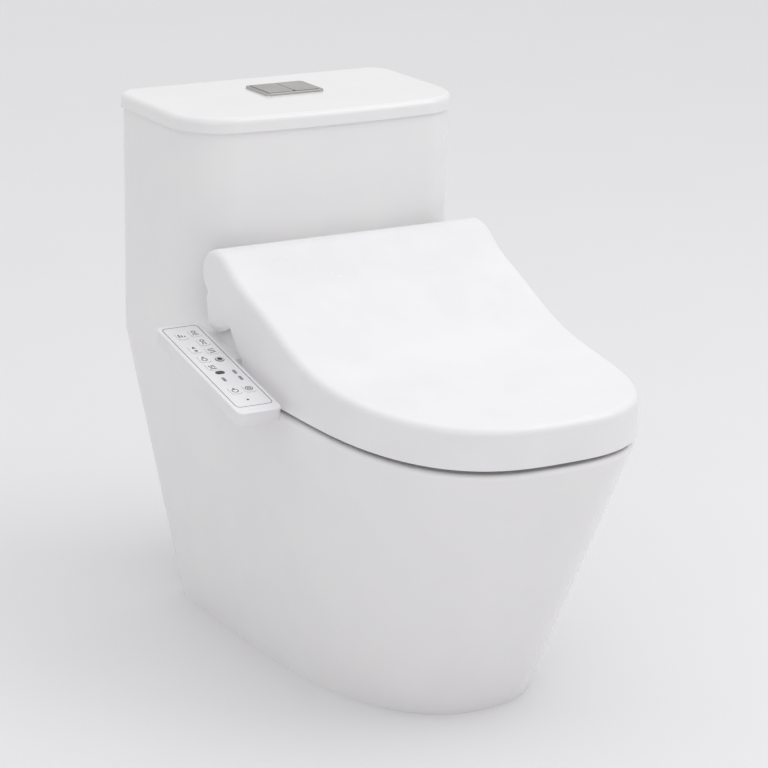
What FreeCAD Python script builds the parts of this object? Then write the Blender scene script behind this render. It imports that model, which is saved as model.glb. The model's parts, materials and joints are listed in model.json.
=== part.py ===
import FreeCAD, Part
import math
import os

# Smart toilet with a heated wash seat. Millimetres.
# +Z is up, the bowl points to -Y, the wall is at +Y, and the sitter's right hand is at -X.
# The origin is the centre of the waste outlet, on the floor.

V = FreeCAD.Vector
X_AXIS = V(1, 0, 0)
Y_AXIS = V(0, 1, 0)
Z_AXIS = V(0, 0, 1)

# ---------------------------------------------------------------- driving dimensions
# Clearances
fit_gap = 0.05            # radial clearance of a pin or plunger that turns or slides
rest_gap = 0.3            # between a piece and the surface it comes to rest on
key_gap = 0.35            # round a key in its hole
skim = 1.0                # overrun of a cutter past the face it cuts
thread_relief = 0.4       # step down in radius beside a threaded end

# Pan: skirt between the foot on the floor and the rim plane
rim_z = 346.0
rim_half_rear = 192.0
rim_half = 184.0
rim_rear_y = 285.0
rim_straight_y = -166.0
rim_front_y = -463.0
rim_power = 2.82
rim_edge_radius = 8.0
foot_half = 150.0
foot_rear_y = 207.0
foot_straight_y = -9.0
foot_front_y = -315.0
foot_power = 2.42
pan_corner_radius = 28.0
pan_wall = 10.0
deck_thickness = 14.0

# Bowl, trapway and flush channel
bowl_wall = 9.0
bowl_rim_half = 125.0
bowl_rim_rear_y = -70.0
bowl_rim_front_y = -422.0
trap_radius = 27.0
trap_wall = 9.0
trap_bend = 40.0
trap_crown_y = 0.0
trap_crown_z = 255.0
trap_dip_y = -140.0
trap_dip_z = 62.0
sump_y = -206.0
sump_z = 72.0
channel_half = 30.0
channel_z = 282.0
channel_height = 40.0
boss_drop = 15.0
outlet_foot_half = 100.0
outlet_foot_depth = 46.0
outlet_foot_height = 16.0
floor_bolt_spacing = 150.0
floor_bolt_hole = 6.0
pipe_window_half = 90.0
pipe_window_height = 190.0

# Tank
tank_half = 192.0
tank_front_y = 71.0
tank_bulge = 13.0
tank_front_radius = 65.0
tank_rear_radius = 26.0
tank_wall = 9.0
tank_floor = 12.0
tank_top_z = 636.0
valve_y = 195.0
tank_bolt_spacing = 152.0
tank_bolt_radius = 4.0
tank_bolt_hole = 6.5
bolt_washer_thickness = 3.0
bolt_nut_height = 8.0

# Tank lid
lid_seat_gap = 0.5
tank_lid_height = 18.5
tank_lid_overhang = 3.5
tank_lid_edge = 8.0
tank_lid_slab = 12.0
lip_depth = 12.0
lip_thickness = 8.0
lip_clearance = 2.5

# Flush plate
plate_length = 82.0
plate_width = 62.0
plate_proud = 3.0
plate_corner = 5.0
plate_border = 4.5
cup_wall = 1.2
cup_gap = 0.5
button_slit = 1.2
button_gap = 0.4
button_proud = 1.0
button_depth = 6.0
button_rod_radius = 3.0
button_rod_length = 48.0
button_rod_spacing = 18.0
barrel_radius = 20.0
barrel_bore = 15.5
barrel_length = 30.0
barrel_nut_radius = 27.0
barrel_nut_height = 8.0
clamp_half_x = 46.0
clamp_half_y = 36.0
clamp_thickness = 3.0

# Flush valve
outlet_tail_radius = 29.5
outlet_tail_bore = 24.0
outlet_hole_radius = 31.0
pan_inlet_radius = 36.0
spud_nut_radius = 40.0
spud_nut_height = 11.0
gasket_radius = 55.0
gasket_drop = 4.0
tail_drop = 18.0
valve_flange = 6.0
valve_lip = 4.0
seal_thickness = 3.5
canister_radius = 27.0
canister_wall = 2.5
canister_lift = 15.0
canister_top_z = 560.0
cage_radius = 34.0
cage_bar = 4.0
cage_ring_z = 470.0
actuator_height = 22.0

# Fill valve
fill_x = 125.0
fill_y = 178.0
fill_riser_radius = 12.0
fill_shank_radius = 10.4
fill_thread_length = 28.0
fill_shank_drop = 39.0
fill_neck_radius = 11.0
fill_access_radius = 28.4
fill_hole_radius = 12.0
fill_top_z = 590.0
fill_head_height = 24.0
fill_nut_height = 10.0
float_radius = 29.0
float_height = 56.0
float_low_z = 420.0

# Hinge line shared by the seat and the lid
hinge_y = 22.0
hinge_z = 474.0
lid_end_radius = 31.5
hinge_pin_radius = 5.0
hinge_eye_radius = 13.0
pin_inner_x = 62.0
pin_outer_x = 178.0

# Wash unit under the lid
unit_half = 180.0
unit_front_y = -68.0
unit_rear_y = 53.0
unit_floor_gap = 4.0
unit_split_z = 390.0
unit_wing_z = 440.0
unit_wall = 2.5
hump_half = 112.0
hump_radius = 26.0
unit_corner = 14.0
mount_plate_half = 100.0
mount_plate_thickness = 4.0
seat_bolt_spacing = 150.0
seat_bolt_y = 7.0
seat_bolt_radius = 4.0
seat_bolt_hole = 7.5
seat_bolt_drop = 46.0
bolt_head_radius = 9.0
bolt_head_height = 2.4
seat_washer_height = 12.0
seat_nut_height = 12.0
wing_nose = 8.0
wing_slope_y = -20.0
wing_drop = 11.0
hump_brow_drop = 28.0
hump_back_y = 28.3
heater_x0 = -150.0
heater_x1 = -50.0
inlet_block_x = 130.0
inlet_radius = 10.3
inlet_length = 15.0
inlet_neck = 1.0
inlet_block_half = 12.0
inlet_y = 27.0
inlet_z = 370.0
gland_y = -12.0
gland_neck = 5.5
board_x0 = 18.0
board_x1 = 108.0
board_z = 432.0
board_thickness = 1.6
board_posts = ((104.0, -44.0), (104.0, 40.0), (24.0, 40.0))

# Wash wand
wand_radius = 6.5
wand_length = 100.0
wand_slope = 30.0
wand_tip_y = -56.0
wand_tip_z = 366.0
guide_start = 10.0
guide_end = 78.0
guide_half = 14.0
shutter_half = 26.0
shutter_length = 37.0
shutter_thickness = 2.0
shutter_pin_radius = 1.5
shutter_trunnion = 1.1
shutter_y = -69.9
shutter_z = 387.5
wand_slot_half = 10.0
jet_radius = 0.7
motor_radius = 9.0
motor_length = 18.0

# Warm air fan
fan_x = 60.0
fan_y = -8.0
fan_radius = 30.0
fan_height = 30.0
impeller_radius = 23.0
impeller_height = 16.0
fan_shaft_radius = 2.0
fan_blades = 10
duct_x0 = 66.0
duct_x1 = 87.0
duct_low_z = 358.0
duct_high_z = 376.0
grille_bars = 5

# Seat ring
seat_gap_to_lid = 4.5
seat_bottom_z = 352.0
seat_top_z = 390.0
seat_shell = 3.0
seat_base_plate = 3.0
seat_rear_y = -72.0
seat_rise_y = -240.0
seat_rise = ((-180.0, 397.0), (-125.0, 420.0))
seat_rear_z = 444.0
seat_heel_y = -135.0
seat_heel_z = 392.0
seat_corner = 16.0
seat_open_half = 108.0
seat_open_front_y = -398.0
seat_open_rear_y = -108.0
seat_edge_radius = 9.0
seat_pad_radius = 8.0
seat_pads = ((150.0, -200.0), (104.0, -388.0))
foil_thickness = 0.5
foil_margin = 12.0
arm_inner_x = 115.0
arm_outer_x = 137.0

# Lid
lid_wall = 3.0
lid_half_rear = 190.0
lid_half = 184.0
lid_bottom_z = 352.0
lid_front_top_z = 400.0
lid_edge_radius = 9.0
lid_inner_radius = 4.0
lid_side_reach = 70.0
lid_wrap_angle = 30.0
lid_boss_inner_x = 140.0
lid_toe_y = -78.0
lid_crest = ((-25, 485), (-75, 463), (-130, 440), (-185, 419.5), (-250, 407), (-350, 401.5))
lid_pads = ((140.0, -300.0), (60.0, -425.0))
lid_pad_radius = 7.0

# Control panel
panel_width = 58.0
panel_length = 228.0
panel_thickness = 16.0
panel_tilt = 12.0
panel_inner_x = -193.5
panel_rear_y = 55.0
panel_rear_z = 409.0
panel_corner = 9.0
panel_wall = 2.2
panel_cover = 4.0
panel_arm_start = 20.0
panel_arm_end = 95.0
panel_edge = 1.5
key_width = 13.0
key_length = 16.0
key_corner = 3.0
key_proud = 0.6
key_flange = 1.0
key_flange_thickness = 1.7
stop_key_radius = 5.5
inset_depth = 1.0
# Keys: name, distance from the panel's inner edge, distance from its rear edge
keys = (
    ("key_rear_wash", 18.0, 28.0),
    ("key_front_wash", 18.0, 52.0),
    ("key_dry", 18.0, 75.0),
    ("key_stop", 18.0, 97.0),
    ("key_massage", 18.0, 174.0),
    ("key_pressure", 36.5, 31.0),
    ("key_position", 36.5, 67.0),
    ("key_water_heat", 36.5, 92.0),
    ("key_seat_heat", 36.5, 113.0),
    ("key_power", 36.5, 174.0),
)
# Flat inlays: half width across, half length along, and the same two distances
window_place = (6.0, 4.0, 33.0, 128.0)
lamp_places = ((2.0, 5.0, 15.0, 131.0), (2.0, 5.0, 15.0, 147.0), (2.0, 5.0, 36.0, 145.0))
power_lamp_place = (1.5, 1.5, 31.5, panel_length - 30.0)


# ---------------------------------------------------------------- general helpers
def box(x0, x1, y0, y1, z0, z1):
    """A block between two corners."""
    return Part.makeBox(x1 - x0, y1 - y0, z1 - z0, V(x0, y0, z0))


def cylinder(radius, height, base, axis=Z_AXIS):
    """A round bar that starts at base and runs along axis."""
    return Part.makeCylinder(radius, height, base, axis)


def ring(outer, inner, height, base, axis=Z_AXIS):
    """A round tube that starts at base and runs along axis."""
    start = base - axis * skim
    return cylinder(outer, height, base, axis).cut(cylinder(inner, height + 2 * skim, start, axis))


def line(start, end):
    """A straight edge."""
    return Part.LineSegment(start, end).toShape()


def arc(start, middle, end):
    """An arc edge through three points."""
    return Part.Arc(start, middle, end).toShape()


def spline(points, start_tangent, end_tangent):
    """A smooth edge through points, with the directions at both ends given."""
    curve = Part.BSplineCurve()
    curve.interpolate(Points=points, InitialTangent=start_tangent, FinalTangent=end_tangent)
    return curve.toShape()


def prism(edges, direction):
    """A solid swept along direction from a closed chain of edges."""
    return Part.Face(Part.Wire(edges)).extrude(direction)


def rounded_block(x0, x1, y0, y1, z0, z1, radius):
    """A block whose four upright edges are rounded."""
    block = box(x0, x1, y0, y1, z0, z1)
    upright = [e for e in block.Edges if abs(e.tangentAt(e.FirstParameter).z) > 0.99]
    return block.makeFillet(radius, upright)


def rounded_block_y(x0, x1, y0, y1, z0, z1, radius):
    """A block whose two lower edges along Y are rounded."""
    block = box(x0, x1, y0, y1, z0, z1)
    lower = [e for e in block.Edges if e.BoundBox.ZMax < z0 + 0.1 and e.BoundBox.XLength < 0.1]
    return block.makeFillet(radius, lower)


def both_sides(shape):
    """The shape and its mirror image across the middle plane, as one group."""
    return Part.makeCompound([shape, shape.mirror(V(0, 0, 0), X_AXIS)])


def fuse_all(shapes):
    """One solid from touching or overlapping shapes, without seams."""
    first = shapes[0]
    return first.multiFuse(shapes[1:]).removeSplitter()


def side_point(y, z):
    """A point of a profile drawn in the middle plane."""
    return V(0, y, z)


def around_hinge(radius, degrees):
    """A profile point on a circle round the hinge line, counted from +Y towards +Z."""
    angle = math.radians(degrees)
    return side_point(hinge_y + radius * math.cos(angle), hinge_z + radius * math.sin(angle))


def side_prism(edges, x0, x1):
    """A solid across the width, from x0 to x1, from a profile in the middle plane."""
    solid = prism(edges, X_AXIS * (x1 - x0))
    solid.translate(V(x0, 0, 0))
    return solid


def plan_outline(z, half_rear, half, rear_y, taper_y, straight_y, front_y, power, corner):
    """The closed plan outline of the pan, lid and seat at height z.

    The rear edge is straight, the sides ease in from half_rear at taper_y to half at
    straight_y, and the front is one superellipse of the given power."""
    right = [V(half_rear, taper_y, z)]
    for share in (0.25, 0.5, 0.75, 1.0):
        ease = share * share * (3 - 2 * share)
        right.append(V(half_rear + (half - half_rear) * ease, taper_y + (straight_y - taper_y) * share, z))
    for degrees in (15, 30, 45, 60, 75):
        angle = math.radians(degrees)
        across = half * math.cos(angle) ** (2 / power)
        along = (straight_y - front_y) * math.sin(angle) ** (2 / power)
        right.append(V(across, straight_y - along, z))
    left = [V(-p.x, p.y, z) for p in reversed(right)]
    front = spline(right + [V(0, front_y, z)] + left, V(0, -1, 0), V(0, 1, 0))
    turn = corner * (1 - math.sqrt(0.5))
    rear_x = half_rear - corner
    edges = [front]
    edges.append(line(V(-half_rear, taper_y, z), V(-half_rear, rear_y - corner, z)))
    rear_turn = V(-half_rear + turn, rear_y - turn, z)
    edges.append(arc(V(-half_rear, rear_y - corner, z), rear_turn, V(-rear_x, rear_y, z)))
    edges.append(line(V(-rear_x, rear_y, z), V(rear_x, rear_y, z)))
    rear_turn = V(half_rear - turn, rear_y - turn, z)
    edges.append(arc(V(rear_x, rear_y, z), rear_turn, V(half_rear, rear_y - corner, z)))
    edges.append(line(V(half_rear, rear_y - corner, z), V(half_rear, taper_y, z)))
    return Part.Wire(edges)


def oval(z, centre_y, half_length, half_width):
    """An elliptical wire at height z."""
    major = V(0, centre_y + half_length, z)
    minor = V(half_width, centre_y, z)
    return Part.Wire([Part.Ellipse(major, minor, V(0, centre_y, z)).toShape()])


def bent_path(points, radii):
    """Straight runs joined by tangent arcs, one radius for each inner point."""
    edges = []
    start = points[0]
    for before, corner, after, radius in zip(points, points[1:], points[2:], radii):
        back = (before - corner).normalize()
        ahead = (after - corner).normalize()
        half_turn = (math.pi - back.getAngle(ahead)) / 2
        reach = radius * math.tan(half_turn)
        bisector = (back + ahead).normalize()
        middle = corner + bisector * (radius / math.cos(half_turn) - radius)
        edges.append(line(start, corner + back * reach))
        edges.append(arc(corner + back * reach, middle, corner + ahead * reach))
        start = corner + ahead * reach
    edges.append(line(start, points[-1]))
    return Part.Wire(edges)


def pipe(path, radius):
    """A round bar along a path."""
    first = path.OrderedEdges[0]
    start = first.valueAt(first.FirstParameter)
    section = Part.Wire([Part.Circle(start, first.tangentAt(first.FirstParameter), radius).toShape()])
    return path.makePipeShell([section], True, False)


# ---------------------------------------------------------------- pan
tank_corner_y = tank_front_y + tank_front_radius
trap_outer = trap_radius + trap_wall
deck_under_z = rim_z - deck_thickness


def skirt_outline(z, inset):
    """The skirt's outline at height z, drawn inset inwards from its outer face."""
    share = z / rim_z

    def at(low, high):
        return low + (high - low) * share

    return plan_outline(
        z,
        at(foot_half, rim_half_rear) - inset,
        at(foot_half, rim_half) - inset,
        at(foot_rear_y, rim_rear_y) - inset,
        at(foot_rear_y - pan_corner_radius - skim, tank_corner_y),
        at(foot_straight_y, rim_straight_y),
        at(foot_front_y, rim_front_y) + inset,
        at(foot_power, rim_power),
        pan_corner_radius - inset,
    )


def rounded_cap(outline, low_z, radius, inset):
    """A slab whose upper edge is a quarter round, from low_z up by radius.

    outline(z, inset) gives the wire of a layer."""
    layers = []
    for degrees in (0, 30, 60, 90):
        angle = math.radians(degrees)
        layers.append(outline(low_z + radius * math.sin(angle), inset + radius * (1 - math.cos(angle))))
    return Part.makeLoft(layers, True, False)


def skirt_block():
    """The skirt's full outer form, with the rim's edge rounded in front of the tank."""
    shoulder_z = rim_z - rim_edge_radius
    whole = Part.makeLoft([skirt_outline(0, 0), skirt_outline(rim_z, 0)], True, True)
    lower = Part.makeLoft([skirt_outline(0, 0), skirt_outline(shoulder_z, 0)], True, True)
    rounded = lower.fuse(rounded_cap(skirt_outline, shoulder_z, rim_edge_radius, 0))
    far = 2 * rim_rear_y
    front = rounded.common(box(-far, far, -2 * far, tank_corner_y, -far, far))
    rear = whole.common(box(-far, far, tank_corner_y, far, -far, far))
    return fuse_all([front, rear])


def bowl_form(grow):
    """The bowl as a solid, drawn grow outwards: rim opening, waist and sump."""
    rim_length = (bowl_rim_rear_y - bowl_rim_front_y) / 2
    rim_centre = (bowl_rim_rear_y + bowl_rim_front_y) / 2
    stations = [
        (sump_z - grow, sump_y, 34, 32),
        (100, sump_y - 2, 46, 42),
        (150, sump_y - 8, 76, 62),
        (230, rim_centre + 4, 140, 100),
        (290, rim_centre, rim_length - 6, bowl_rim_half - 6),
        (rim_z + skim, rim_centre, rim_length, bowl_rim_half),
    ]
    wires = [oval(z, y, length + grow, width + grow) for z, y, length, width in stations]
    return Part.makeLoft(wires, True, False)


def trap_path():
    """Centre line of the trapway: out of the sump, over the weir and down to the floor."""
    points = [
        side_point(sump_y - 8, sump_z + trap_radius),
        side_point(trap_dip_y, trap_dip_z),
        side_point(trap_crown_y, trap_crown_z),
        side_point(trap_crown_y, 0),
    ]
    return bent_path(points, [trap_radius + trap_wall + 4, trap_bend])


def flush_channel(grow):
    """The water way from the tank's outlet to the back of the bowl, drawn grow outwards."""
    half = channel_half + grow
    low = channel_z - channel_height / 2 - grow
    high = channel_z + channel_height / 2 + grow
    run = box(-half, half, bowl_rim_rear_y - 16, valve_y + channel_half + grow, low, high)
    drop = cylinder(pan_inlet_radius + grow, rim_z - channel_z - 2, V(0, valve_y, channel_z))
    return fuse_all([run, drop])


def make_pan():
    """The glazed pan: skirt, deck, bowl, trapway, flush channel and fixing foot."""
    shell = skirt_block()
    cavity = Part.makeLoft(
        [skirt_outline(-skim, pan_wall), skirt_outline(deck_under_z, pan_wall)], True, True
    )
    shell = shell.cut(cavity)
    bowl = bowl_form(bowl_wall).common(box(-400, 400, -500, 200, 0, rim_z - rim_edge_radius / 4))
    trap = pipe(trap_path(), trap_outer)
    foot = rounded_block(
        -outlet_foot_half, outlet_foot_half, -outlet_foot_depth, outlet_foot_depth, 0, outlet_foot_height, 20
    )
    inlet_boss = cylinder(
        gasket_radius + 10, deck_thickness + boss_drop, V(0, valve_y, deck_under_z - boss_drop)
    )
    body = fuse_all([shell, bowl, trap, foot, flush_channel(bowl_wall), inlet_boss])
    recess_low_z = rim_z - spud_nut_height - gasket_drop
    inlet_recess = cylinder(gasket_radius + 1.5, rim_z - recess_low_z + skim, V(0, valve_y, recess_low_z))
    holes = [bowl_form(0), pipe(trap_path(), trap_radius), flush_channel(0), inlet_recess]
    holes.append(cylinder(trap_radius, 40, V(0, trap_crown_y, -20)))
    for side in (-1, 1):
        seat_bolt = V(side * seat_bolt_spacing / 2, seat_bolt_y, deck_under_z - 20)
        holes.append(cylinder(seat_bolt_hole, 60, seat_bolt))
        holes.append(cylinder(tank_bolt_hole, 80, V(side * tank_bolt_spacing / 2, valve_y, rim_z - 60)))
        holes.append(cylinder(floor_bolt_hole, 40, V(side * floor_bolt_spacing / 2, 0, -10)))
    holes.append(cylinder(fill_access_radius, 60, V(fill_x, fill_y, rim_z - 40)))
    window = rounded_block(
        -pipe_window_half, pipe_window_half, 120, rim_rear_y + 20, -60, pipe_window_height, 1
    )
    holes.append(window)
    body = body.cut(holes[0])
    for hole in holes[1:]:
        body = body.cut(hole)
    return body


# ---------------------------------------------------------------- tank
tank_floor_z = rim_z + tank_floor
lid_under_z = tank_top_z + lid_seat_gap
lid_top_z = lid_under_z + tank_lid_height
slab_under_z = lid_top_z - tank_lid_slab
cup_half_x = plate_length / 2 - plate_border
cup_half_y = plate_width / 2 - plate_border
cup_floor_z = slab_under_z + rest_gap
plate_top_z = lid_top_z + plate_proud
button_low_z = plate_top_z + button_proud - button_depth
rod_low_z = button_low_z - button_rod_length


def tank_form(low_z, high_z, inset):
    """The tank's plan form between two heights, drawn inset inwards."""
    half = tank_half - inset
    front_y = tank_front_y + inset
    rear_y = rim_rear_y - inset
    left_front = V(-half, front_y, low_z)
    right_front = V(half, front_y, low_z)
    left_rear = V(-half, rear_y, low_z)
    right_rear = V(half, rear_y, low_z)
    edges = [arc(left_front, V(0, front_y - tank_bulge, low_z), right_front)]
    edges += [line(right_front, right_rear), line(right_rear, left_rear), line(left_rear, left_front)]
    block = prism(edges, Z_AXIS * (high_z - low_z))
    upright = [e for e in block.Edges if abs(e.tangentAt(e.FirstParameter).z) > 0.99]
    fronts = [e for e in upright if e.BoundBox.YMax < front_y + 1]
    block = block.makeFillet(tank_front_radius - inset, fronts)
    rears = [e for e in block.Edges if e.BoundBox.YMin > rear_y - 0.01 and e.BoundBox.ZLength > 1]
    return block.makeFillet(max(tank_rear_radius - inset, 1), rears)


def make_tank():
    """The glazed tank, open at the top, with its valve and bolt holes."""
    body = tank_form(rim_z, tank_top_z, 0)
    body = body.cut(tank_form(tank_floor_z, tank_top_z + skim, tank_wall))
    low = rim_z - skim
    body = body.cut(cylinder(outlet_hole_radius, tank_floor + 2 * skim, V(0, valve_y, low)))
    body = body.cut(cylinder(fill_hole_radius, tank_floor + 2 * skim, V(fill_x, fill_y, low)))
    for side in (-1, 1):
        bolt = V(side * tank_bolt_spacing / 2, valve_y, low)
        body = body.cut(cylinder(tank_bolt_hole, tank_floor + 2 * skim, bolt))
    return body


def make_tank_lid():
    """The loose ceramic lid: a slab with a rounded edge and a lip that drops into the tank."""
    slab = tank_form(lid_under_z, lid_top_z, -tank_lid_overhang)
    top_edges = [e for e in slab.Edges if e.BoundBox.ZMin > lid_top_z - 0.1]
    slab = slab.makeFillet(tank_lid_edge, top_edges)
    lip_inset = tank_wall + lip_clearance
    lip = tank_form(tank_top_z - lip_depth, lid_under_z + skim, lip_inset)
    hollow = tank_form(tank_top_z - lip_depth - skim, slab_under_z, lip_inset + lip_thickness)
    hole_x = cup_half_x + cup_wall + cup_gap
    hole_y = cup_half_y + cup_wall + cup_gap
    hole = rounded_block(
        -hole_x, hole_x, valve_y - hole_y, valve_y + hole_y,
        slab_under_z - skim, lid_top_z + skim, plate_corner,
    )
    return fuse_all([slab, lip]).cut(hollow).cut(hole)


def make_flush_plate():
    """The flush plate's frame, cup and threaded barrel, its clamp plate and its nut."""
    outer_x = cup_half_x + cup_wall
    outer_y = cup_half_y + cup_wall
    flange = rounded_block(
        -plate_length / 2, plate_length / 2, valve_y - plate_width / 2, valve_y + plate_width / 2,
        lid_top_z, plate_top_z, plate_corner,
    )
    top_edges = [e for e in flange.Edges if e.BoundBox.ZMin > plate_top_z - 0.1]
    flange = flange.makeFillet(plate_proud / 3, top_edges)
    cup = rounded_block(
        -outer_x, outer_x, valve_y - outer_y, valve_y + outer_y,
        cup_floor_z, lid_top_z + skim, plate_corner - 1,
    )
    barrel_low_z = cup_floor_z - barrel_length
    barrel = cylinder(barrel_radius, barrel_length + skim, V(0, valve_y, barrel_low_z))
    pocket = rounded_block(
        -cup_half_x, cup_half_x, valve_y - cup_half_y, valve_y + cup_half_y,
        cup_floor_z + cup_wall, plate_top_z + skim, plate_corner - 2,
    )
    bore = cylinder(barrel_bore, barrel_length + 3 * skim, V(0, valve_y, barrel_low_z - skim))
    frame = fuse_all([flange, cup, barrel]).cut(pocket).cut(bore)
    clamp_low_z = slab_under_z - clamp_thickness
    clamp = rounded_block(
        -clamp_half_x, clamp_half_x, valve_y - clamp_half_y, valve_y + clamp_half_y,
        clamp_low_z, slab_under_z, plate_corner - 1,
    )
    clamp_hole = V(0, valve_y, clamp_low_z - skim)
    clamp = clamp.cut(cylinder(barrel_radius, clamp_thickness + 2 * skim, clamp_hole))
    nut_low_z = clamp_low_z - barrel_nut_height
    nut = ring(barrel_nut_radius, barrel_radius, barrel_nut_height, V(0, valve_y, nut_low_z))
    return frame, clamp, nut


def make_flush_button(side):
    """One half of the dual button, with the rod that pushes the valve; side -1 is the full flush."""
    inner = button_slit / 2
    outer = cup_half_x - button_gap
    half_y = cup_half_y - button_gap
    x0, x1 = sorted((side * inner, side * outer))
    high_z = button_low_z + button_depth
    cap = rounded_block(x0, x1, valve_y - half_y, valve_y + half_y, button_low_z, high_z, 2)
    top_edges = [e for e in cap.Edges if e.BoundBox.ZMin > high_z - 0.1]
    cap = cap.makeFillet(button_proud / 2, top_edges)
    rod = cylinder(
        button_rod_radius, button_rod_length + skim, V(side * button_rod_spacing / 2, valve_y, rod_low_z)
    )
    return fuse_all([cap, rod])


# ---------------------------------------------------------------- flush and fill valves
flange_top_z = tank_floor_z + valve_flange
seal_low_z = flange_top_z + valve_lip + rest_gap
canister_low_z = seal_low_z + seal_thickness
actuator_low_z = canister_top_z + canister_lift + 2
tail_low_z = rim_z - spud_nut_height - tail_drop
gasket_low_z = rim_z - spud_nut_height - gasket_drop


def valve_centre(z):
    """A point on the flush valve's upright axis."""
    return V(0, valve_y, z)


def make_flush_valve():
    """The flush valve's fixed and moving parts, the nut under the tank and the sponge gasket."""
    flange = ring(cage_radius + cage_bar + 4, outlet_tail_bore, valve_flange, valve_centre(tank_floor_z))
    tail_height = tank_floor_z - tail_low_z + skim
    tail = ring(outlet_tail_radius, outlet_tail_bore, tail_height, valve_centre(tail_low_z))
    lip = ring(outlet_tail_radius, outlet_tail_bore, valve_lip + skim, valve_centre(flange_top_z - skim))
    parts = [flange, tail, lip]
    for leg in range(3):
        bar = box(
            cage_radius, cage_radius + cage_bar, -cage_bar, cage_bar, flange_top_z - skim, actuator_low_z
        )
        bar.rotate(V(0, 0, 0), Z_AXIS, 60 + 120 * leg)
        bar.translate(valve_centre(0))
        parts.append(bar)
    parts.append(ring(cage_radius + cage_bar, cage_radius, cage_bar, valve_centre(cage_ring_z)))
    base = fuse_all(parts)
    nut_low_z = rim_z - spud_nut_height
    nut = ring(spud_nut_radius, outlet_tail_radius, spud_nut_height, valve_centre(nut_low_z))
    gasket_height = rim_z - gasket_low_z
    gasket = ring(gasket_radius, spud_nut_radius + cup_gap, gasket_height, valve_centre(gasket_low_z))
    actuator = cylinder(cage_radius + cage_bar, actuator_height, valve_centre(actuator_low_z))
    bore = canister_radius - canister_wall
    seal = ring(canister_radius + 4, bore - 1, seal_thickness, valve_centre(seal_low_z))
    tube_height = canister_top_z - canister_low_z
    tube = ring(canister_radius, bore, tube_height, valve_centre(canister_low_z))
    collar = ring(canister_radius + 4, bore, seal_thickness, valve_centre(canister_low_z))
    return {
        "flush_valve_base": base,
        "flush_valve_nut": nut,
        "tank_gasket": gasket,
        "flush_actuator": actuator,
        "flush_seal": seal,
        "flush_canister": fuse_all([tube, collar]),
    }


def make_fill_valve():
    """The fill valve with its threaded inlet shank, its nut and its float."""
    def centre(z):
        return V(fill_x, fill_y, z)

    shank_low_z = rim_z - fill_shank_drop
    nut_low_z = rim_z - fill_nut_height
    thread = cylinder(fill_shank_radius, fill_thread_length, centre(shank_low_z))
    core = cylinder(fill_shank_radius - thread_relief, fill_shank_drop, centre(shank_low_z))
    neck = cylinder(fill_neck_radius, tank_floor_z - nut_low_z + skim, centre(nut_low_z))
    flange = cylinder(fill_hole_radius + 5, 4, centre(tank_floor_z))
    riser = cylinder(fill_riser_radius, fill_top_z - tank_floor_z, centre(tank_floor_z))
    stop = cylinder(fill_riser_radius + 4, 8, centre(float_low_z - rest_gap - 8))
    head = cylinder(fill_riser_radius + 9, fill_head_height, centre(fill_top_z - skim))
    bore = cylinder(fill_shank_radius - 4.5, fill_top_z - shank_low_z, centre(shank_low_z - skim))
    body = fuse_all([thread, core, neck, flange, riser, stop, head]).cut(bore)
    nut = ring(fill_hole_radius + 6, fill_neck_radius, fill_nut_height, centre(nut_low_z))
    ball = ring(float_radius, fill_riser_radius + 2 * rest_gap, float_height, centre(float_low_z))
    return {"fill_valve": body, "fill_valve_nut": nut, "fill_float": ball}


def make_tank_bolts():
    """The two bolts that hold the tank down, their rubber washers and their nuts."""
    x = tank_bolt_spacing / 2
    washer_top_z = tank_floor_z + bolt_washer_thickness
    shank_low_z = deck_under_z - bolt_nut_height - 4
    shank = cylinder(tank_bolt_radius, washer_top_z - shank_low_z + skim, V(x, valve_y, shank_low_z))
    head = cylinder(2.2 * tank_bolt_radius, 1.2 * tank_bolt_radius, V(x, valve_y, washer_top_z))
    washer = ring(
        tank_bolt_hole + 5, tank_bolt_radius, bolt_washer_thickness, V(x, valve_y, tank_floor_z)
    )
    nut_low_z = deck_under_z - bolt_nut_height
    nut = ring(2.1 * tank_bolt_radius, tank_bolt_radius, bolt_nut_height, V(x, valve_y, nut_low_z))
    return {
        "tank_bolts": both_sides(fuse_all([shank, head])),
        "tank_bolt_washers": both_sides(washer),
        "tank_bolt_nuts": both_sides(nut),
    }


# ---------------------------------------------------------------- wash unit
unit_floor_z = rim_z + unit_floor_gap
tray_floor_z = unit_floor_z + unit_wall


def hinge_bar(radius, x0, x1):
    """A round bar on the hinge line, between two places across the width."""
    return cylinder(radius, x1 - x0, V(x0, hinge_y, hinge_z), X_AXIS)


def wand_frame(shape):
    """Carry a shape from the wand's own frame, whose -Y is the way it slides out, to its place."""
    shape.rotate(V(0, 0, 0), X_AXIS, wand_slope)
    shape.translate(V(0, wand_tip_y, wand_tip_z))
    return shape


def panel_frame(shape):
    """Carry a shape from the panel's own frame, with its inner rear top corner at 0, to its place."""
    shape.rotate(V(0, 0, 0), X_AXIS, panel_tilt)
    shape.translate(V(panel_inner_x, panel_rear_y, panel_rear_z))
    return shape


def wing_form(inset):
    """The unit's low form across its whole width, drawn inset inwards, down to the split."""
    low_z = unit_split_z - (skim if inset else 0)
    front_y = unit_front_y + inset
    rear_y = unit_rear_y - inset
    top_z = unit_wing_z - inset
    outline = [
        side_point(front_y, low_z),
        side_point(front_y, unit_split_z + wing_nose - inset),
        side_point(wing_slope_y, unit_wing_z - wing_drop - inset),
        side_point(wing_slope_y + 2 * wing_drop, top_z),
        side_point(rear_y, top_z),
        side_point(rear_y, low_z),
    ]
    edges = [line(p, q) for p, q in zip(outline, outline[1:] + outline[:1])]
    half = unit_half - inset
    wings = side_prism(edges, -half, half)
    plan = rounded_block(-half, half, front_y, rear_y, low_z - skim, top_z + skim, unit_corner - inset)
    return wings.common(plan)


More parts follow.
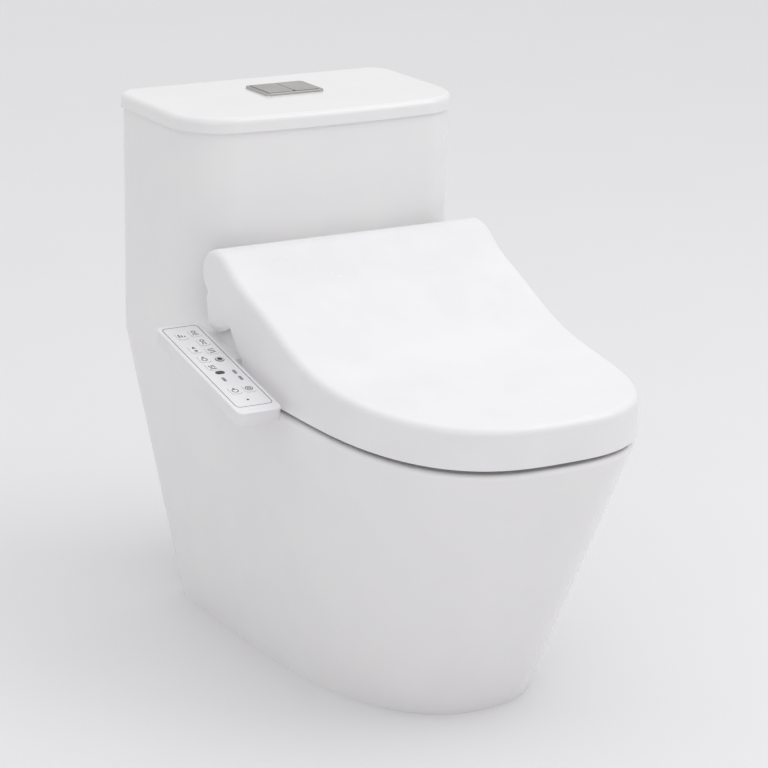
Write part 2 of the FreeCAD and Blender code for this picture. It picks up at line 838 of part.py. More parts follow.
def hump_form(inset):
    """The unit's raised middle between the seat's arms, drawn inset inwards."""
    radius = hump_radius - inset
    low_z = unit_split_z + 2 * wing_nose
    brow = side_point(unit_front_y + 8 + inset, hinge_z - hump_brow_drop - inset)
    foot = side_point(unit_front_y + 4 + inset, low_z)
    crown = around_hinge(radius, 100)
    back = around_hinge(radius, -math.degrees(math.acos((hump_back_y - inset - hinge_y) / radius)))
    edges = [
        line(foot, brow),
        spline([brow, crown], V(0, 1, 0.7), V(0, 1, 0.176)),
        arc(crown, around_hinge(radius, 20), back),
        line(back, side_point(back.y, low_z)),
        line(side_point(back.y, low_z), foot),
    ]
    half = hump_half - inset
    return side_prism(edges, -half, half)


def panel_arm():
    """The arm that carries the control panel out from the unit's side."""
    reach = -unit_half - panel_inner_x
    arm = box(
        0, reach, -panel_arm_end, -panel_arm_start, -panel_thickness, -panel_cover - 1
    )
    return panel_frame(arm)


def make_unit_shells():
    """The unit's tray, with its arm and outlets, and the cover with the hinge pins' seats."""
    tray = rounded_block(
        -unit_half, unit_half, unit_front_y, unit_rear_y, unit_floor_z, unit_split_z, unit_corner
    )
    inside = rounded_block(
        -unit_half + unit_wall, unit_half - unit_wall, unit_front_y + unit_wall, unit_rear_y - unit_wall,
        tray_floor_z, unit_split_z + skim, unit_corner - unit_wall,
    )
    tray = tray.cut(inside)
    parts = [tray, panel_arm()]
    for side in (-1, 1):
        x0, x1 = sorted((side * (shutter_half + 0.5), side * (shutter_half + 4)))
        lug_y = shutter_y - 3
        parts.append(box(x0, x1, lug_y, unit_front_y + 1, shutter_z - 3, unit_split_z))
    for x, y in board_posts:
        parts.append(cylinder(3, board_z - tray_floor_z + 1, V(x, y, tray_floor_z - 1)))
    tray = fuse_all(parts)
    front = unit_front_y - skim
    cutters = [
        box(-wand_slot_half, wand_slot_half, front, unit_front_y + 11, unit_floor_z - skim, shutter_z - 12),
        box(duct_x0, duct_x1, front, unit_front_y + 4, duct_low_z, duct_high_z),
        cylinder(inlet_radius, 10, V(unit_half - 6, inlet_y, inlet_z), X_AXIS),
        cylinder(gland_neck, 10, V(unit_half - 6, gland_y, inlet_z), X_AXIS),
        cylinder(
            shutter_trunnion + fit_gap, 2 * shutter_half + 12,
            V(-shutter_half - 6, shutter_y, shutter_z), X_AXIS,
        ),
    ]
    for side in (-1, 1):
        head = V(side * seat_bolt_spacing / 2, seat_bolt_y, unit_floor_z - skim)
        cutters.append(cylinder(bolt_head_radius + 1, 4, head))
    for cutter in cutters:
        tray = tray.cut(cutter)
    cover = fuse_all([wing_form(0), hump_form(0)])
    cover = cover.cut(wing_form(unit_wall)).cut(hump_form(unit_wall))
    cover = cover.cut(hinge_bar(hinge_pin_radius, -hump_half - 1, hump_half + 1))
    return {"unit_tray": tray, "unit_cover": cover}


def make_unit_mounting():
    """The steel plate on the deck, its two bolts, the rubber cones under the deck and the nuts."""
    plate = rounded_block(
        -mount_plate_half, mount_plate_half, seat_bolt_y - 30, seat_bolt_y + 30,
        rim_z, rim_z + mount_plate_thickness, 8,
    )
    x = seat_bolt_spacing / 2
    for side in (-1, 1):
        plate = plate.cut(cylinder(seat_bolt_radius, 20, V(side * x, seat_bolt_y, rim_z - 10)))
    head_z = rim_z + mount_plate_thickness
    shank_low_z = rim_z - seat_bolt_drop
    bolt = fuse_all([
        cylinder(seat_bolt_radius, head_z - shank_low_z + skim, V(x, seat_bolt_y, shank_low_z)),
        cylinder(bolt_head_radius, bolt_head_height, V(x, seat_bolt_y, head_z)),
    ])
    washer_low_z = deck_under_z - seat_washer_height
    washer = ring(seat_bolt_hole + 6, seat_bolt_radius, seat_washer_height, V(x, seat_bolt_y, washer_low_z))
    nut_low_z = washer_low_z - seat_nut_height
    nut = ring(seat_bolt_hole + 3, seat_bolt_radius, seat_nut_height, V(x, seat_bolt_y, nut_low_z))
    return {
        "unit_mounting_plate": plate,
        "unit_bolts": both_sides(bolt),
        "unit_bolt_washers": both_sides(washer),
        "unit_bolt_nuts": both_sides(nut),
    }


def make_wand():
    """The wash wand, the guide it slides in, its motor and the shutter before it."""
    wand = cylinder(wand_radius, wand_length, V(0, 0, 0), Y_AXIS)
    nose = [e for e in wand.Edges if e.BoundBox.YMax < 0.1]
    wand = wand.makeFillet(wand_radius / 2, nose)
    wand = wand.cut(cylinder(wand_radius / 2, wand_length, V(0, wand_radius, 0), Y_AXIS))
    for jet in (0, 1, 2):
        wand = wand.cut(cylinder(jet_radius, wand_radius + 1, V(0, wand_radius + 1 + 4 * jet, 0)))
    block = box(-guide_half, guide_half, guide_start, guide_end, -guide_half + 2, guide_half - 2)
    block = wand_frame(block)
    foot = box(
        -guide_half + 4, guide_half - 4, wand_tip_y + 16, wand_tip_y + 56, tray_floor_z, wand_tip_z + 10
    )
    bore = wand_frame(cylinder(wand_radius + fit_gap, 2 * wand_length, V(0, -wand_length / 2, 0), Y_AXIS))
    guide = fuse_all([block, foot]).cut(bore)
    motor = cylinder(motor_radius, motor_length, V(-guide_half - motor_length, guide_end - 20, 0), X_AXIS)
    barrel = cylinder(shutter_pin_radius, 2 * shutter_half, V(-shutter_half, shutter_y, shutter_z), X_AXIS)
    pin_end = V(-shutter_half - 3, shutter_y, shutter_z)
    pins = cylinder(shutter_trunnion, 2 * shutter_half + 6, pin_end, X_AXIS)
    leaf = rounded_block_y(
        -shutter_half, shutter_half, shutter_y - shutter_thickness / 2, shutter_y + shutter_thickness / 2,
        shutter_z - shutter_length, shutter_z, 5,
    )
    return {
        "wash_wand": wand_frame(wand),
        "wand_guide": guide,
        "wand_motor": wand_frame(motor),
        "wand_shutter": fuse_all([leaf, barrel, pins]),
    }


def make_dryer():
    """The warm air fan: housing with its duct, and the bladed wheel on the housing's shaft."""
    inner_radius = fan_radius - unit_wall
    low = V(fan_x, fan_y, tray_floor_z)
    drum = cylinder(fan_radius, fan_height, low)
    duct = box(duct_x0 - 2, duct_x1 + 2, unit_front_y + unit_wall, fan_y, duct_low_z - 2, duct_high_z + 2)
    hollow = cylinder(inner_radius, fan_height - 2 * unit_wall, low + Z_AXIS * unit_wall)
    passage = box(duct_x0, duct_x1, unit_front_y, fan_y - 1, duct_low_z, duct_high_z)
    inlet = cylinder(inner_radius / 2, 10, low + Z_AXIS * (fan_height - 5))
    housing = fuse_all([drum, duct]).cut(hollow).cut(passage).cut(inlet)
    shaft = cylinder(fan_shaft_radius, fan_height - 6, low)
    bars = []
    for index in range(grille_bars):
        x = duct_x0 + (index + 0.5) * (duct_x1 - duct_x0) / grille_bars
        front_y = unit_front_y + unit_wall
        bars.append(box(x - 0.8, x + 0.8, front_y, front_y + 3, duct_low_z - skim, duct_high_z + skim))
    housing = fuse_all([housing, shaft] + bars)
    wheel_low = low + Z_AXIS * (unit_wall + 2)
    hub = cylinder(3 * fan_shaft_radius, impeller_height, wheel_low)
    disc = cylinder(impeller_radius, 1.5, wheel_low)
    blades = []
    for index in range(fan_blades):
        blade = box(impeller_radius / 2, impeller_radius, -0.6, 0.6, 0, impeller_height)
        blade.rotate(V(0, 0, 0), Z_AXIS, 360 / fan_blades * index)
        blade.translate(wheel_low)
        blades.append(blade)
    wheel = fuse_all([disc, hub] + blades)
    wheel = wheel.cut(cylinder(fan_shaft_radius + fit_gap, fan_height, low))
    return {"dryer_housing": housing, "dryer_wheel": wheel}


def make_unit_inside():
    """Heater, inlet valve, circuit board, cord gland, hinge pins and dampers."""
    heater = rounded_block(
        heater_x0, heater_x1, unit_front_y + 20, unit_rear_y - 20, tray_floor_z, unit_split_z - 4, 10
    )
    wall_x = unit_half - unit_wall
    valve = box(
        inlet_block_x, wall_x, inlet_y - inlet_block_half, inlet_y + inlet_block_half,
        tray_floor_z, unit_split_z - 4,
    )
    thread = cylinder(inlet_radius, inlet_length, V(unit_half + inlet_neck, inlet_y, inlet_z), X_AXIS)
    neck_length = unit_wall + inlet_neck + 2 * skim
    neck_start = V(wall_x - skim, inlet_y, inlet_z)
    neck = cylinder(inlet_radius - thread_relief, neck_length, neck_start, X_AXIS)
    passage = cylinder(inlet_radius - 4, inlet_length + 20, V(unit_half - 18, inlet_y, inlet_z), X_AXIS)
    valve = fuse_all([valve, thread, neck]).cut(passage)
    board = box(
        board_x0, board_x1, unit_front_y + 18, unit_rear_y - 8, board_z, board_z + board_thickness
    )
    gland = fuse_all([
        cylinder(gland_neck, unit_wall + 6, V(wall_x - 2, gland_y, inlet_z), X_AXIS),
        cylinder(gland_neck + 2, 4, V(unit_half, gland_y, inlet_z), X_AXIS),
        cylinder(gland_neck + 2, 2, V(wall_x - 2, gland_y, inlet_z), X_AXIS),
    ])
    gland = gland.cut(cylinder(gland_neck - 2, 20, V(unit_half - 10, gland_y, inlet_z), X_AXIS))
    pin = hinge_bar(hinge_pin_radius, pin_inner_x, pin_outer_x)
    damper = hinge_bar(2 * hinge_pin_radius, pin_inner_x + 4, hump_half - unit_wall)
    damper = damper.cut(hinge_bar(hinge_pin_radius, pin_inner_x, hump_half))
    return {
        "water_heater": heater,
        "inlet_valve": valve,
        "control_board": board,
        "cord_gland": gland,
        "hinge_pins": both_sides(pin),
        "hinge_dampers": both_sides(damper),
    }


# ---------------------------------------------------------------- seat and lid
lid_rear_y = hinge_y + lid_end_radius + 20
lid_corner = 5.0


def lid_outline(z, inset):
    """The lid's plan outline at height z, drawn inset inwards."""
    return plan_outline(
        z, lid_half_rear - inset, lid_half - inset, lid_rear_y, lid_rear_y - lid_corner - skim,
        rim_straight_y, rim_front_y + inset, rim_power, lid_corner,
    )


def lid_top_edge(inset):
    """The lid's upper profile line from its front to the top of its round rear end."""
    points = [around_hinge(lid_end_radius - inset, 90)]
    for y, z in lid_crest:
        points.append(side_point(y, z - inset))
    points.append(side_point(rim_front_y - 10, lid_front_top_z - inset))
    return spline(points, V(0, -1, 0), V(0, -1, -0.01))


def lid_profile():
    """The lid's closed side profile, with its round rear end about the hinge line."""
    top = lid_top_edge(0)
    crown = around_hinge(lid_end_radius, 90)
    heel = around_hinge(lid_end_radius, -60)
    drop_start = around_hinge(lid_side_reach, -82)
    drop_end = around_hinge(lid_side_reach, -128)
    toe = side_point(lid_toe_y, lid_bottom_z)
    front = side_point(rim_front_y - 10, lid_bottom_z)
    return [
        top,
        line(side_point(front.y, lid_front_top_z), front),
        line(front, toe),
        line(toe, drop_end),
        arc(drop_end, around_hinge(lid_side_reach, -105), drop_start),
        line(drop_start, heel),
        arc(heel, around_hinge(lid_end_radius, 10), crown),
    ]


def lid_hollow_profile():
    """The side profile of the space under the lid, open below and behind the hinge line."""
    radius = lid_end_radius - lid_wall
    low_z = lid_bottom_z - 12
    crown = around_hinge(radius, 90)
    lip = around_hinge(radius, lid_wrap_angle)
    behind = around_hinge(2 * lid_end_radius, lid_wrap_angle)
    corners = [
        side_point(rim_front_y - 10, lid_front_top_z - lid_wall),
        side_point(rim_front_y - 10, low_z),
        side_point(behind.y, low_z),
        behind,
        lip,
    ]
    edges = [lid_top_edge(lid_wall)]
    edges += [line(p, q) for p, q in zip(corners, corners[1:])]
    edges.append(arc(lip, around_hinge(radius, (90 + lid_wrap_angle) / 2), crown))
    return edges


def lid_form(profile, inset, radius):
    """A solid from a side profile inside the lid's plan outline, with its upper edge rounded."""
    reach = lid_half_rear + 20
    upright = Part.Face(lid_outline(lid_bottom_z - 50, inset)).extrude(Z_AXIS * 300)
    body = upright.common(side_prism(profile, -reach, reach))
    upper = [e for e in body.Edges if e.BoundBox.ZMin > lid_front_top_z - 8 and e.BoundBox.XLength > 0.5]
    return body.makeFillet(radius, upper)


def make_lid():
    """The lid's shell with its hinge bosses, and the pads it rests on the seat with."""
    inside = lid_form(lid_hollow_profile(), lid_wall, lid_inner_radius)
    shell = lid_form(lid_profile(), 0, lid_edge_radius).cut(inside)
    for side in (-1, 1):
        x0, x1 = sorted((side * lid_boss_inner_x, side * (lid_half_rear - lid_wall / 2)))
        shell = shell.fuse(hinge_bar(hinge_eye_radius, x0, x1))
        x0, x1 = sorted((side * (lid_boss_inner_x - skim), side * (pin_outer_x + skim)))
        shell = shell.cut(hinge_bar(hinge_pin_radius + fit_gap, x0, x1))
    pads = []
    for x, y in lid_pads:
        pad = cylinder(lid_pad_radius, 3 * lid_pad_radius, V(x, y, seat_top_z + rest_gap)).common(inside)
        pads += [pad, pad.mirror(V(0, 0, 0), X_AXIS)]
    return {"lid_shell": shell.removeSplitter(), "lid_pads": Part.makeCompound(pads)}


def seat_outline(z, inset):
    """The seat's plan outline at height z, drawn inset inwards."""
    gap = seat_gap_to_lid + lid_wall + inset
    return plan_outline(
        z, lid_half_rear - 4 - gap, lid_half - gap, seat_rear_y - inset,
        seat_rear_y - 2.5 * seat_corner - inset, rim_straight_y, rim_front_y + gap, rim_power, seat_corner,
    )


def seat_profile(top_drop, bottom_rise, front_y, rear_y):
    """The seat's closed side profile, its top lowered and its bottom raised by the given amounts."""
    top = []
    for y, z in ((front_y, seat_top_z), (seat_rise_y, seat_top_z)) + seat_rise + ((rear_y, seat_rear_z),):
        top.append(side_point(y, z - top_drop))
    low = seat_bottom_z + bottom_rise
    heel = seat_heel_z + bottom_rise
    bottom = [
        top[-1],
        side_point(rear_y, heel + 4),
        side_point(seat_heel_y + 23, heel),
        side_point(seat_heel_y, low),
        side_point(front_y, low),
        top[0],
    ]
    edges = [line(top[0], top[1])]
    edges.append(spline(top[1:], V(0, 1, 0), V(0, 1, 0.5)))
    edges += [line(p, q) for p, q in zip(bottom, bottom[1:])]
    return edges


def seat_upright(inset):
    """A tall solid inside the seat's plan outline, without its opening, drawn inset inwards."""
    low_z = seat_bottom_z - 20
    solid = Part.Face(seat_outline(low_z, inset)).extrude(Z_AXIS * 140)
    half_length = (seat_open_rear_y - seat_open_front_y) / 2 + inset
    opening = oval(low_z, (seat_open_rear_y + seat_open_front_y) / 2, half_length, seat_open_half + inset)
    return solid.cut(Part.Face(opening).extrude(Z_AXIS * 140))


def upper_seat_edges(form):
    """The edges round the seat's top surface, without the line across it where its rise starts."""
    chosen = []
    for edge in form.Edges:
        extent = edge.BoundBox
        middle = edge.valueAt((edge.FirstParameter + edge.LastParameter) / 2)
        across = extent.YLength < 0.1
        upright = across and extent.ZLength > 20
        rise_line = across and abs(middle.y - seat_rise_y) < 1
        raised = middle.z > seat_heel_z + 4.5
        flat = extent.YMin < seat_rise_y - 10
        if extent.ZMin > seat_top_z - 2 and (raised or flat) and not (upright or rise_line):
            chosen.append(edge)
    return chosen


def seat_arm(side):
    """One arm from the back of the ring to its eye on the hinge line."""
    eye = hinge_eye_radius
    corners = [
        side_point(seat_rear_y - 8, seat_heel_z + 8),
        side_point(seat_rear_y, seat_heel_z + 10),
        around_hinge(eye, -50),
        around_hinge(eye, 105),
        side_point(-20, hinge_z + 1),
        side_point(seat_rear_y - 8, seat_rear_z - 3),
    ]
    edges = [line(p, q) for p, q in zip(corners, corners[1:] + corners[:1])]
    x0, x1 = sorted((side * arm_inner_x, side * arm_outer_x))
    arm = side_prism(edges, x0, x1).fuse(hinge_bar(eye, x0, x1))
    return arm.cut(hinge_bar(hinge_pin_radius + fit_gap, x0 - skim, x1 + skim))


def make_seat():
    """The heated seat: upper shell with hinge arms, base plate, heating foil and rest pads."""
    reach = lid_half_rear
    far_front = rim_front_y - 20
    whole = side_prism(seat_profile(0, 0, far_front, seat_rear_y + 5), -reach, reach)
    form = seat_upright(0).common(whole)
    form = form.makeFillet(seat_edge_radius, upper_seat_edges(form))
    under = side_prism(seat_profile(seat_shell, -20, far_front, seat_rear_y + 5), -reach, reach)
    hollow = seat_upright(seat_shell).common(under)
    shell = fuse_all([form.cut(hollow), seat_arm(-1), seat_arm(1)])
    layer = side_prism(
        seat_profile(seat_shell, 0, far_front, seat_rear_y + 5), -reach, reach
    ).cut(side_prism(seat_profile(-60, seat_base_plate, far_front - 10, seat_rear_y + 15), -reach, reach))
    base = seat_upright(seat_shell).common(layer)
    foil_low_z = seat_top_z - seat_shell - foil_thickness
    strip = box(-reach, reach, far_front, seat_rise_y - 5, foil_low_z, seat_top_z - seat_shell)
    foil = seat_upright(foil_margin).common(strip)
    pads = []
    pad_height = seat_bottom_z - rim_z - rest_gap
    for x, y in seat_pads:
        for across in (x, -x):
            pads.append(cylinder(seat_pad_radius, pad_height, V(across, y, rim_z + rest_gap)))
    return {
        "seat_shell": shell,
        "seat_base": base,
        "seat_heating_foil": foil,
        "seat_pads": Part.makeCompound(pads),
    }


# ---------------------------------------------------------------- control panel
def key_block(across, along, half_width, half_length, z0, z1, corner):
    """An upright rounded block centred on a place of the panel, in the panel's own frame."""
    return rounded_block(
        -across - half_width, -across + half_width, -along - half_length, -along + half_length, z0, z1, corner
    )


def key_shape(name, across, along, grow, z0, z1):
    """A key's body between two heights, drawn grow outwards."""
    if name == "key_stop":
        return cylinder(stop_key_radius + grow, z1 - z0, V(-across, -along, z0))
    half_width = key_width / 2 + grow
    half_length = key_length / 2 + grow
    return key_block(across, along, half_width, half_length, z0, z1, key_corner + grow / 2)


def inlay(place, grow, depth, proud):
    """An oval inlay let into the panel's top."""
    half_across, half_along, across, along = place
    corner = min(half_across, half_along) - 0.1
    return key_block(
        across, along, half_across + grow, half_along + grow, -depth, proud, corner
    )


def make_panel():
    """The control panel: housing, cover, keys, lamps and circuit board."""
    under_cover = -panel_cover
    outer = rounded_block(
        -panel_width, 0, -panel_length, 0, -panel_thickness, under_cover, panel_corner
    )
    wall = panel_wall
    hollow = rounded_block(
        -panel_width + wall, -wall, -panel_length + wall, -wall,
        -panel_thickness + wall, under_cover + skim, panel_corner - wall,
    )
    housing = outer.cut(hollow)
    board_low = -9.0
    posts = []
    for across in (14, panel_width - 14):
        for along in (20, panel_length - 20):
            foot = V(-across, -along, skim - panel_thickness)
            posts.append(cylinder(3, board_low + panel_thickness - skim, foot))
    housing = fuse_all([housing] + posts)
    cover = rounded_block(-panel_width, 0, -panel_length, 0, under_cover, 0, panel_corner)
    rim = [e for e in cover.Edges if e.BoundBox.ZMin > -0.1]
    cover = cover.makeFillet(panel_edge, rim)
    pieces = {}
    for name, across, along in keys:
        cover = cover.cut(key_shape(name, across, along, key_gap, under_cover - skim, skim))
        stem = key_shape(name, across, along, 0, under_cover - rest_gap - skim, key_proud)
        flange_top = under_cover - rest_gap
        flange = key_shape(
            name, across, along, key_gap + key_flange, flange_top - key_flange_thickness, flange_top
        )
        pieces[name] = stem.fuse(flange).removeSplitter()
    cover = cover.cut(inlay(window_place, 0, inset_depth, skim))
    cover = cover.cut(inlay(power_lamp_place, 0, inset_depth, skim))
    lamps = []
    for place in lamp_places:
        cover = cover.cut(inlay(place, 0, inset_depth, skim))
        lamps.append(inlay(place, 0, inset_depth, 0.1))
    pieces["panel_housing"] = housing
    pieces["panel_cover"] = cover
    pieces["panel_board"] = box(
        -panel_width + 6, -6, -panel_length + 12, -12, board_low, board_low + board_thickness
    )
    pieces["panel_window"] = inlay(window_place, 0, inset_depth, 0.1)
    pieces["panel_lamps"] = Part.makeCompound(lamps)
    pieces["power_lamp"] = inlay(power_lamp_place, 0, inset_depth, 0.3)
    return {name: panel_frame(shape) for name, shape in pieces.items()}


def save(name, shape):
    """Write one piece."""
    shape.exportStep(os.path.join("parts", name + ".step"))


os.makedirs("parts", exist_ok=True)
save("pan", make_pan())
save("tank", make_tank())
save("tank_lid", make_tank_lid())
for name, shape in zip(("flush_plate", "flush_plate_clamp", "flush_plate_nut"), make_flush_plate()):
    save(name, shape)
save("full_flush_button", make_flush_button(-1))
save("half_flush_button", make_flush_button(1))
for group in (make_flush_valve(), make_fill_valve(), make_tank_bolts()):
    for name, shape in group.items():
        save(name, shape)
for group in (make_unit_shells(), make_unit_mounting(), make_wand(), make_dryer(), make_unit_inside()):
    for name, shape in group.items():
        save(name, shape)
for group in (make_seat(), make_lid(), make_panel()):
    for name, shape in group.items():
        save(name, shape)
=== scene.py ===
import json
import logging
import math
from contextlib import contextmanager
from dataclasses import dataclass
from enum import Enum
from typing import Any, Callable, Iterator, Optional

import bmesh
import bpy
from mathutils import Matrix, Vector


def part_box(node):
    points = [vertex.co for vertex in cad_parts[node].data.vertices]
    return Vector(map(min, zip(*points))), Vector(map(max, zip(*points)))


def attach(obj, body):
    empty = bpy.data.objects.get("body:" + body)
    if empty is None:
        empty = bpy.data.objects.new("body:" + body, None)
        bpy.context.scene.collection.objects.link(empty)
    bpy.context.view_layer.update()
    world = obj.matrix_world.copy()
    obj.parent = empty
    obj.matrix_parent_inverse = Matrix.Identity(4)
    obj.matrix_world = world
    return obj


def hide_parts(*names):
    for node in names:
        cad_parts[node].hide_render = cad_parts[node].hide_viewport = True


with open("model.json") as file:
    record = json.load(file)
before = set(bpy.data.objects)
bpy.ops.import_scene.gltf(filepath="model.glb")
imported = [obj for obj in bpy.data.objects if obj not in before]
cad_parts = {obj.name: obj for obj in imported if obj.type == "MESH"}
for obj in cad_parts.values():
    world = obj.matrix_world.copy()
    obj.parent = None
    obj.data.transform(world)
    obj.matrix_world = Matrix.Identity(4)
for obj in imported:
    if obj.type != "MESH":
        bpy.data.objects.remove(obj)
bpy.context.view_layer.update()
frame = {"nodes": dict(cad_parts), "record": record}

LOG = logging.getLogger("toilet")
MM = 0.001
MM_PER_METRE = 1000.0
Point = tuple[float, float, float]

# ---------------------------------------------------------------- values of the finishes
COAT_ROUGHNESS = 0.04
BUMP_STRENGTH = 0.5
NOISE_ROUGHNESS = 0.5
# The middle part of a noise that is stretched into a change of colour or of gloss.
COLOUR_LOW, COLOUR_HIGH = 0.35, 0.65
GLOSS_LOW, GLOSS_HIGH = 0.3, 0.7
GLOSS_CHANGE = 0.15
# Scale of the noise along Y, which draws it out into brushed scratches.
SCRATCH_STRETCH = 0.03
# Waves of a fired glaze.
SWELL_MM, SWELL_WEIGHT = 28.0, 3.0
# Specks in a glaze: cell distances are in shares of a cell.
SPECK_SPACING_MM = 20.0
SPECK_CORE, SPECK_EDGE, SPECK_STRENGTH = 0.012, 0.03, 0.35
SPECK_TONE = "cfcbc4"
# Copper tracks of a circuit board, laid as the joints of a brick pattern.
TRACK_MM, TRACK_PITCH_MM, TRACK_LENGTH_MM, TRACK_STAGGER = 0.6, 4.3, 21.0, 0.37
TRACK_TONE = "3f7d4c"
BLACK, WHITE = (0.0, 0.0, 0.0, 1.0), (1.0, 1.0, 1.0, 1.0)

# ---------------------------------------------------------------- values of the modelled pieces
PLACE_TOLERANCE = 1e-6
LEVEL_TOLERANCE = 1e-7
# Height of a face's normal: of a flat end, and of a foot without the faces that round it.
FACING_Z, FACING_DOWN = 0.9, -0.99
SMOOTH_ANGLE = 32
ROUND_SIDES = 32
RING_SIDES = 28
HELIX_STEPS = 32
# Half-inch pipe thread: its pitch, and the size of its ridge as a share of that.
PIPE_PITCH = 1.814
THREAD_SHARE = 0.3
# Rounded ends of a bar, as a share of its width.
BAR_END_SHARE = 0.45
BAR_END_STEPS = 3


# ---------------------------------------------------------------- colours and nodes
def paint(code: str) -> tuple[float, float, float, float]:
    """Turn an sRGB hex colour into linear values.

    Args:
        code: Six hex digits.

    Returns:
        Linear red, green, blue and an alpha of 1.
    """
    values = []
    for start in (0, 2, 4):
        share = int(code[start:start + 2], 16) / 255
        values.append(share / 12.92 if share <= 0.04045 else ((share + 0.055) / 1.055) ** 2.4)
    return values[0], values[1], values[2], 1.0


def add_node(tree: bpy.types.NodeTree, kind: str, settings: Optional[dict[str, Any]] = None,
             inputs: Optional[dict[Any, Any]] = None) -> bpy.types.Node:
    """Add a node with its settings, values and links.

    Args:
        tree: The node tree to add to.
        kind: The node's type name.
        settings: Properties of the node, by name.
        inputs: Values, or output sockets to link from, by input name or number.

    Returns:
        The new node.
    """
    node = tree.nodes.new(kind)
    for name, value in (settings or {}).items():
        setattr(node, name, value)
    for name, value in (inputs or {}).items():
        if isinstance(value, bpy.types.NodeSocket):
            tree.links.new(value, node.inputs[name])
        else:
            node.inputs[name].default_value = value
    return node


class Grain(Enum):
    """How a surface was made, which sets its fine relief."""

    GLAZED = "glazed"
    MOULDED = "moulded"
    BRUSHED = "brushed"
    SOFT = "soft"
    LAMINATED = "laminated"
    PRINTED = "printed"


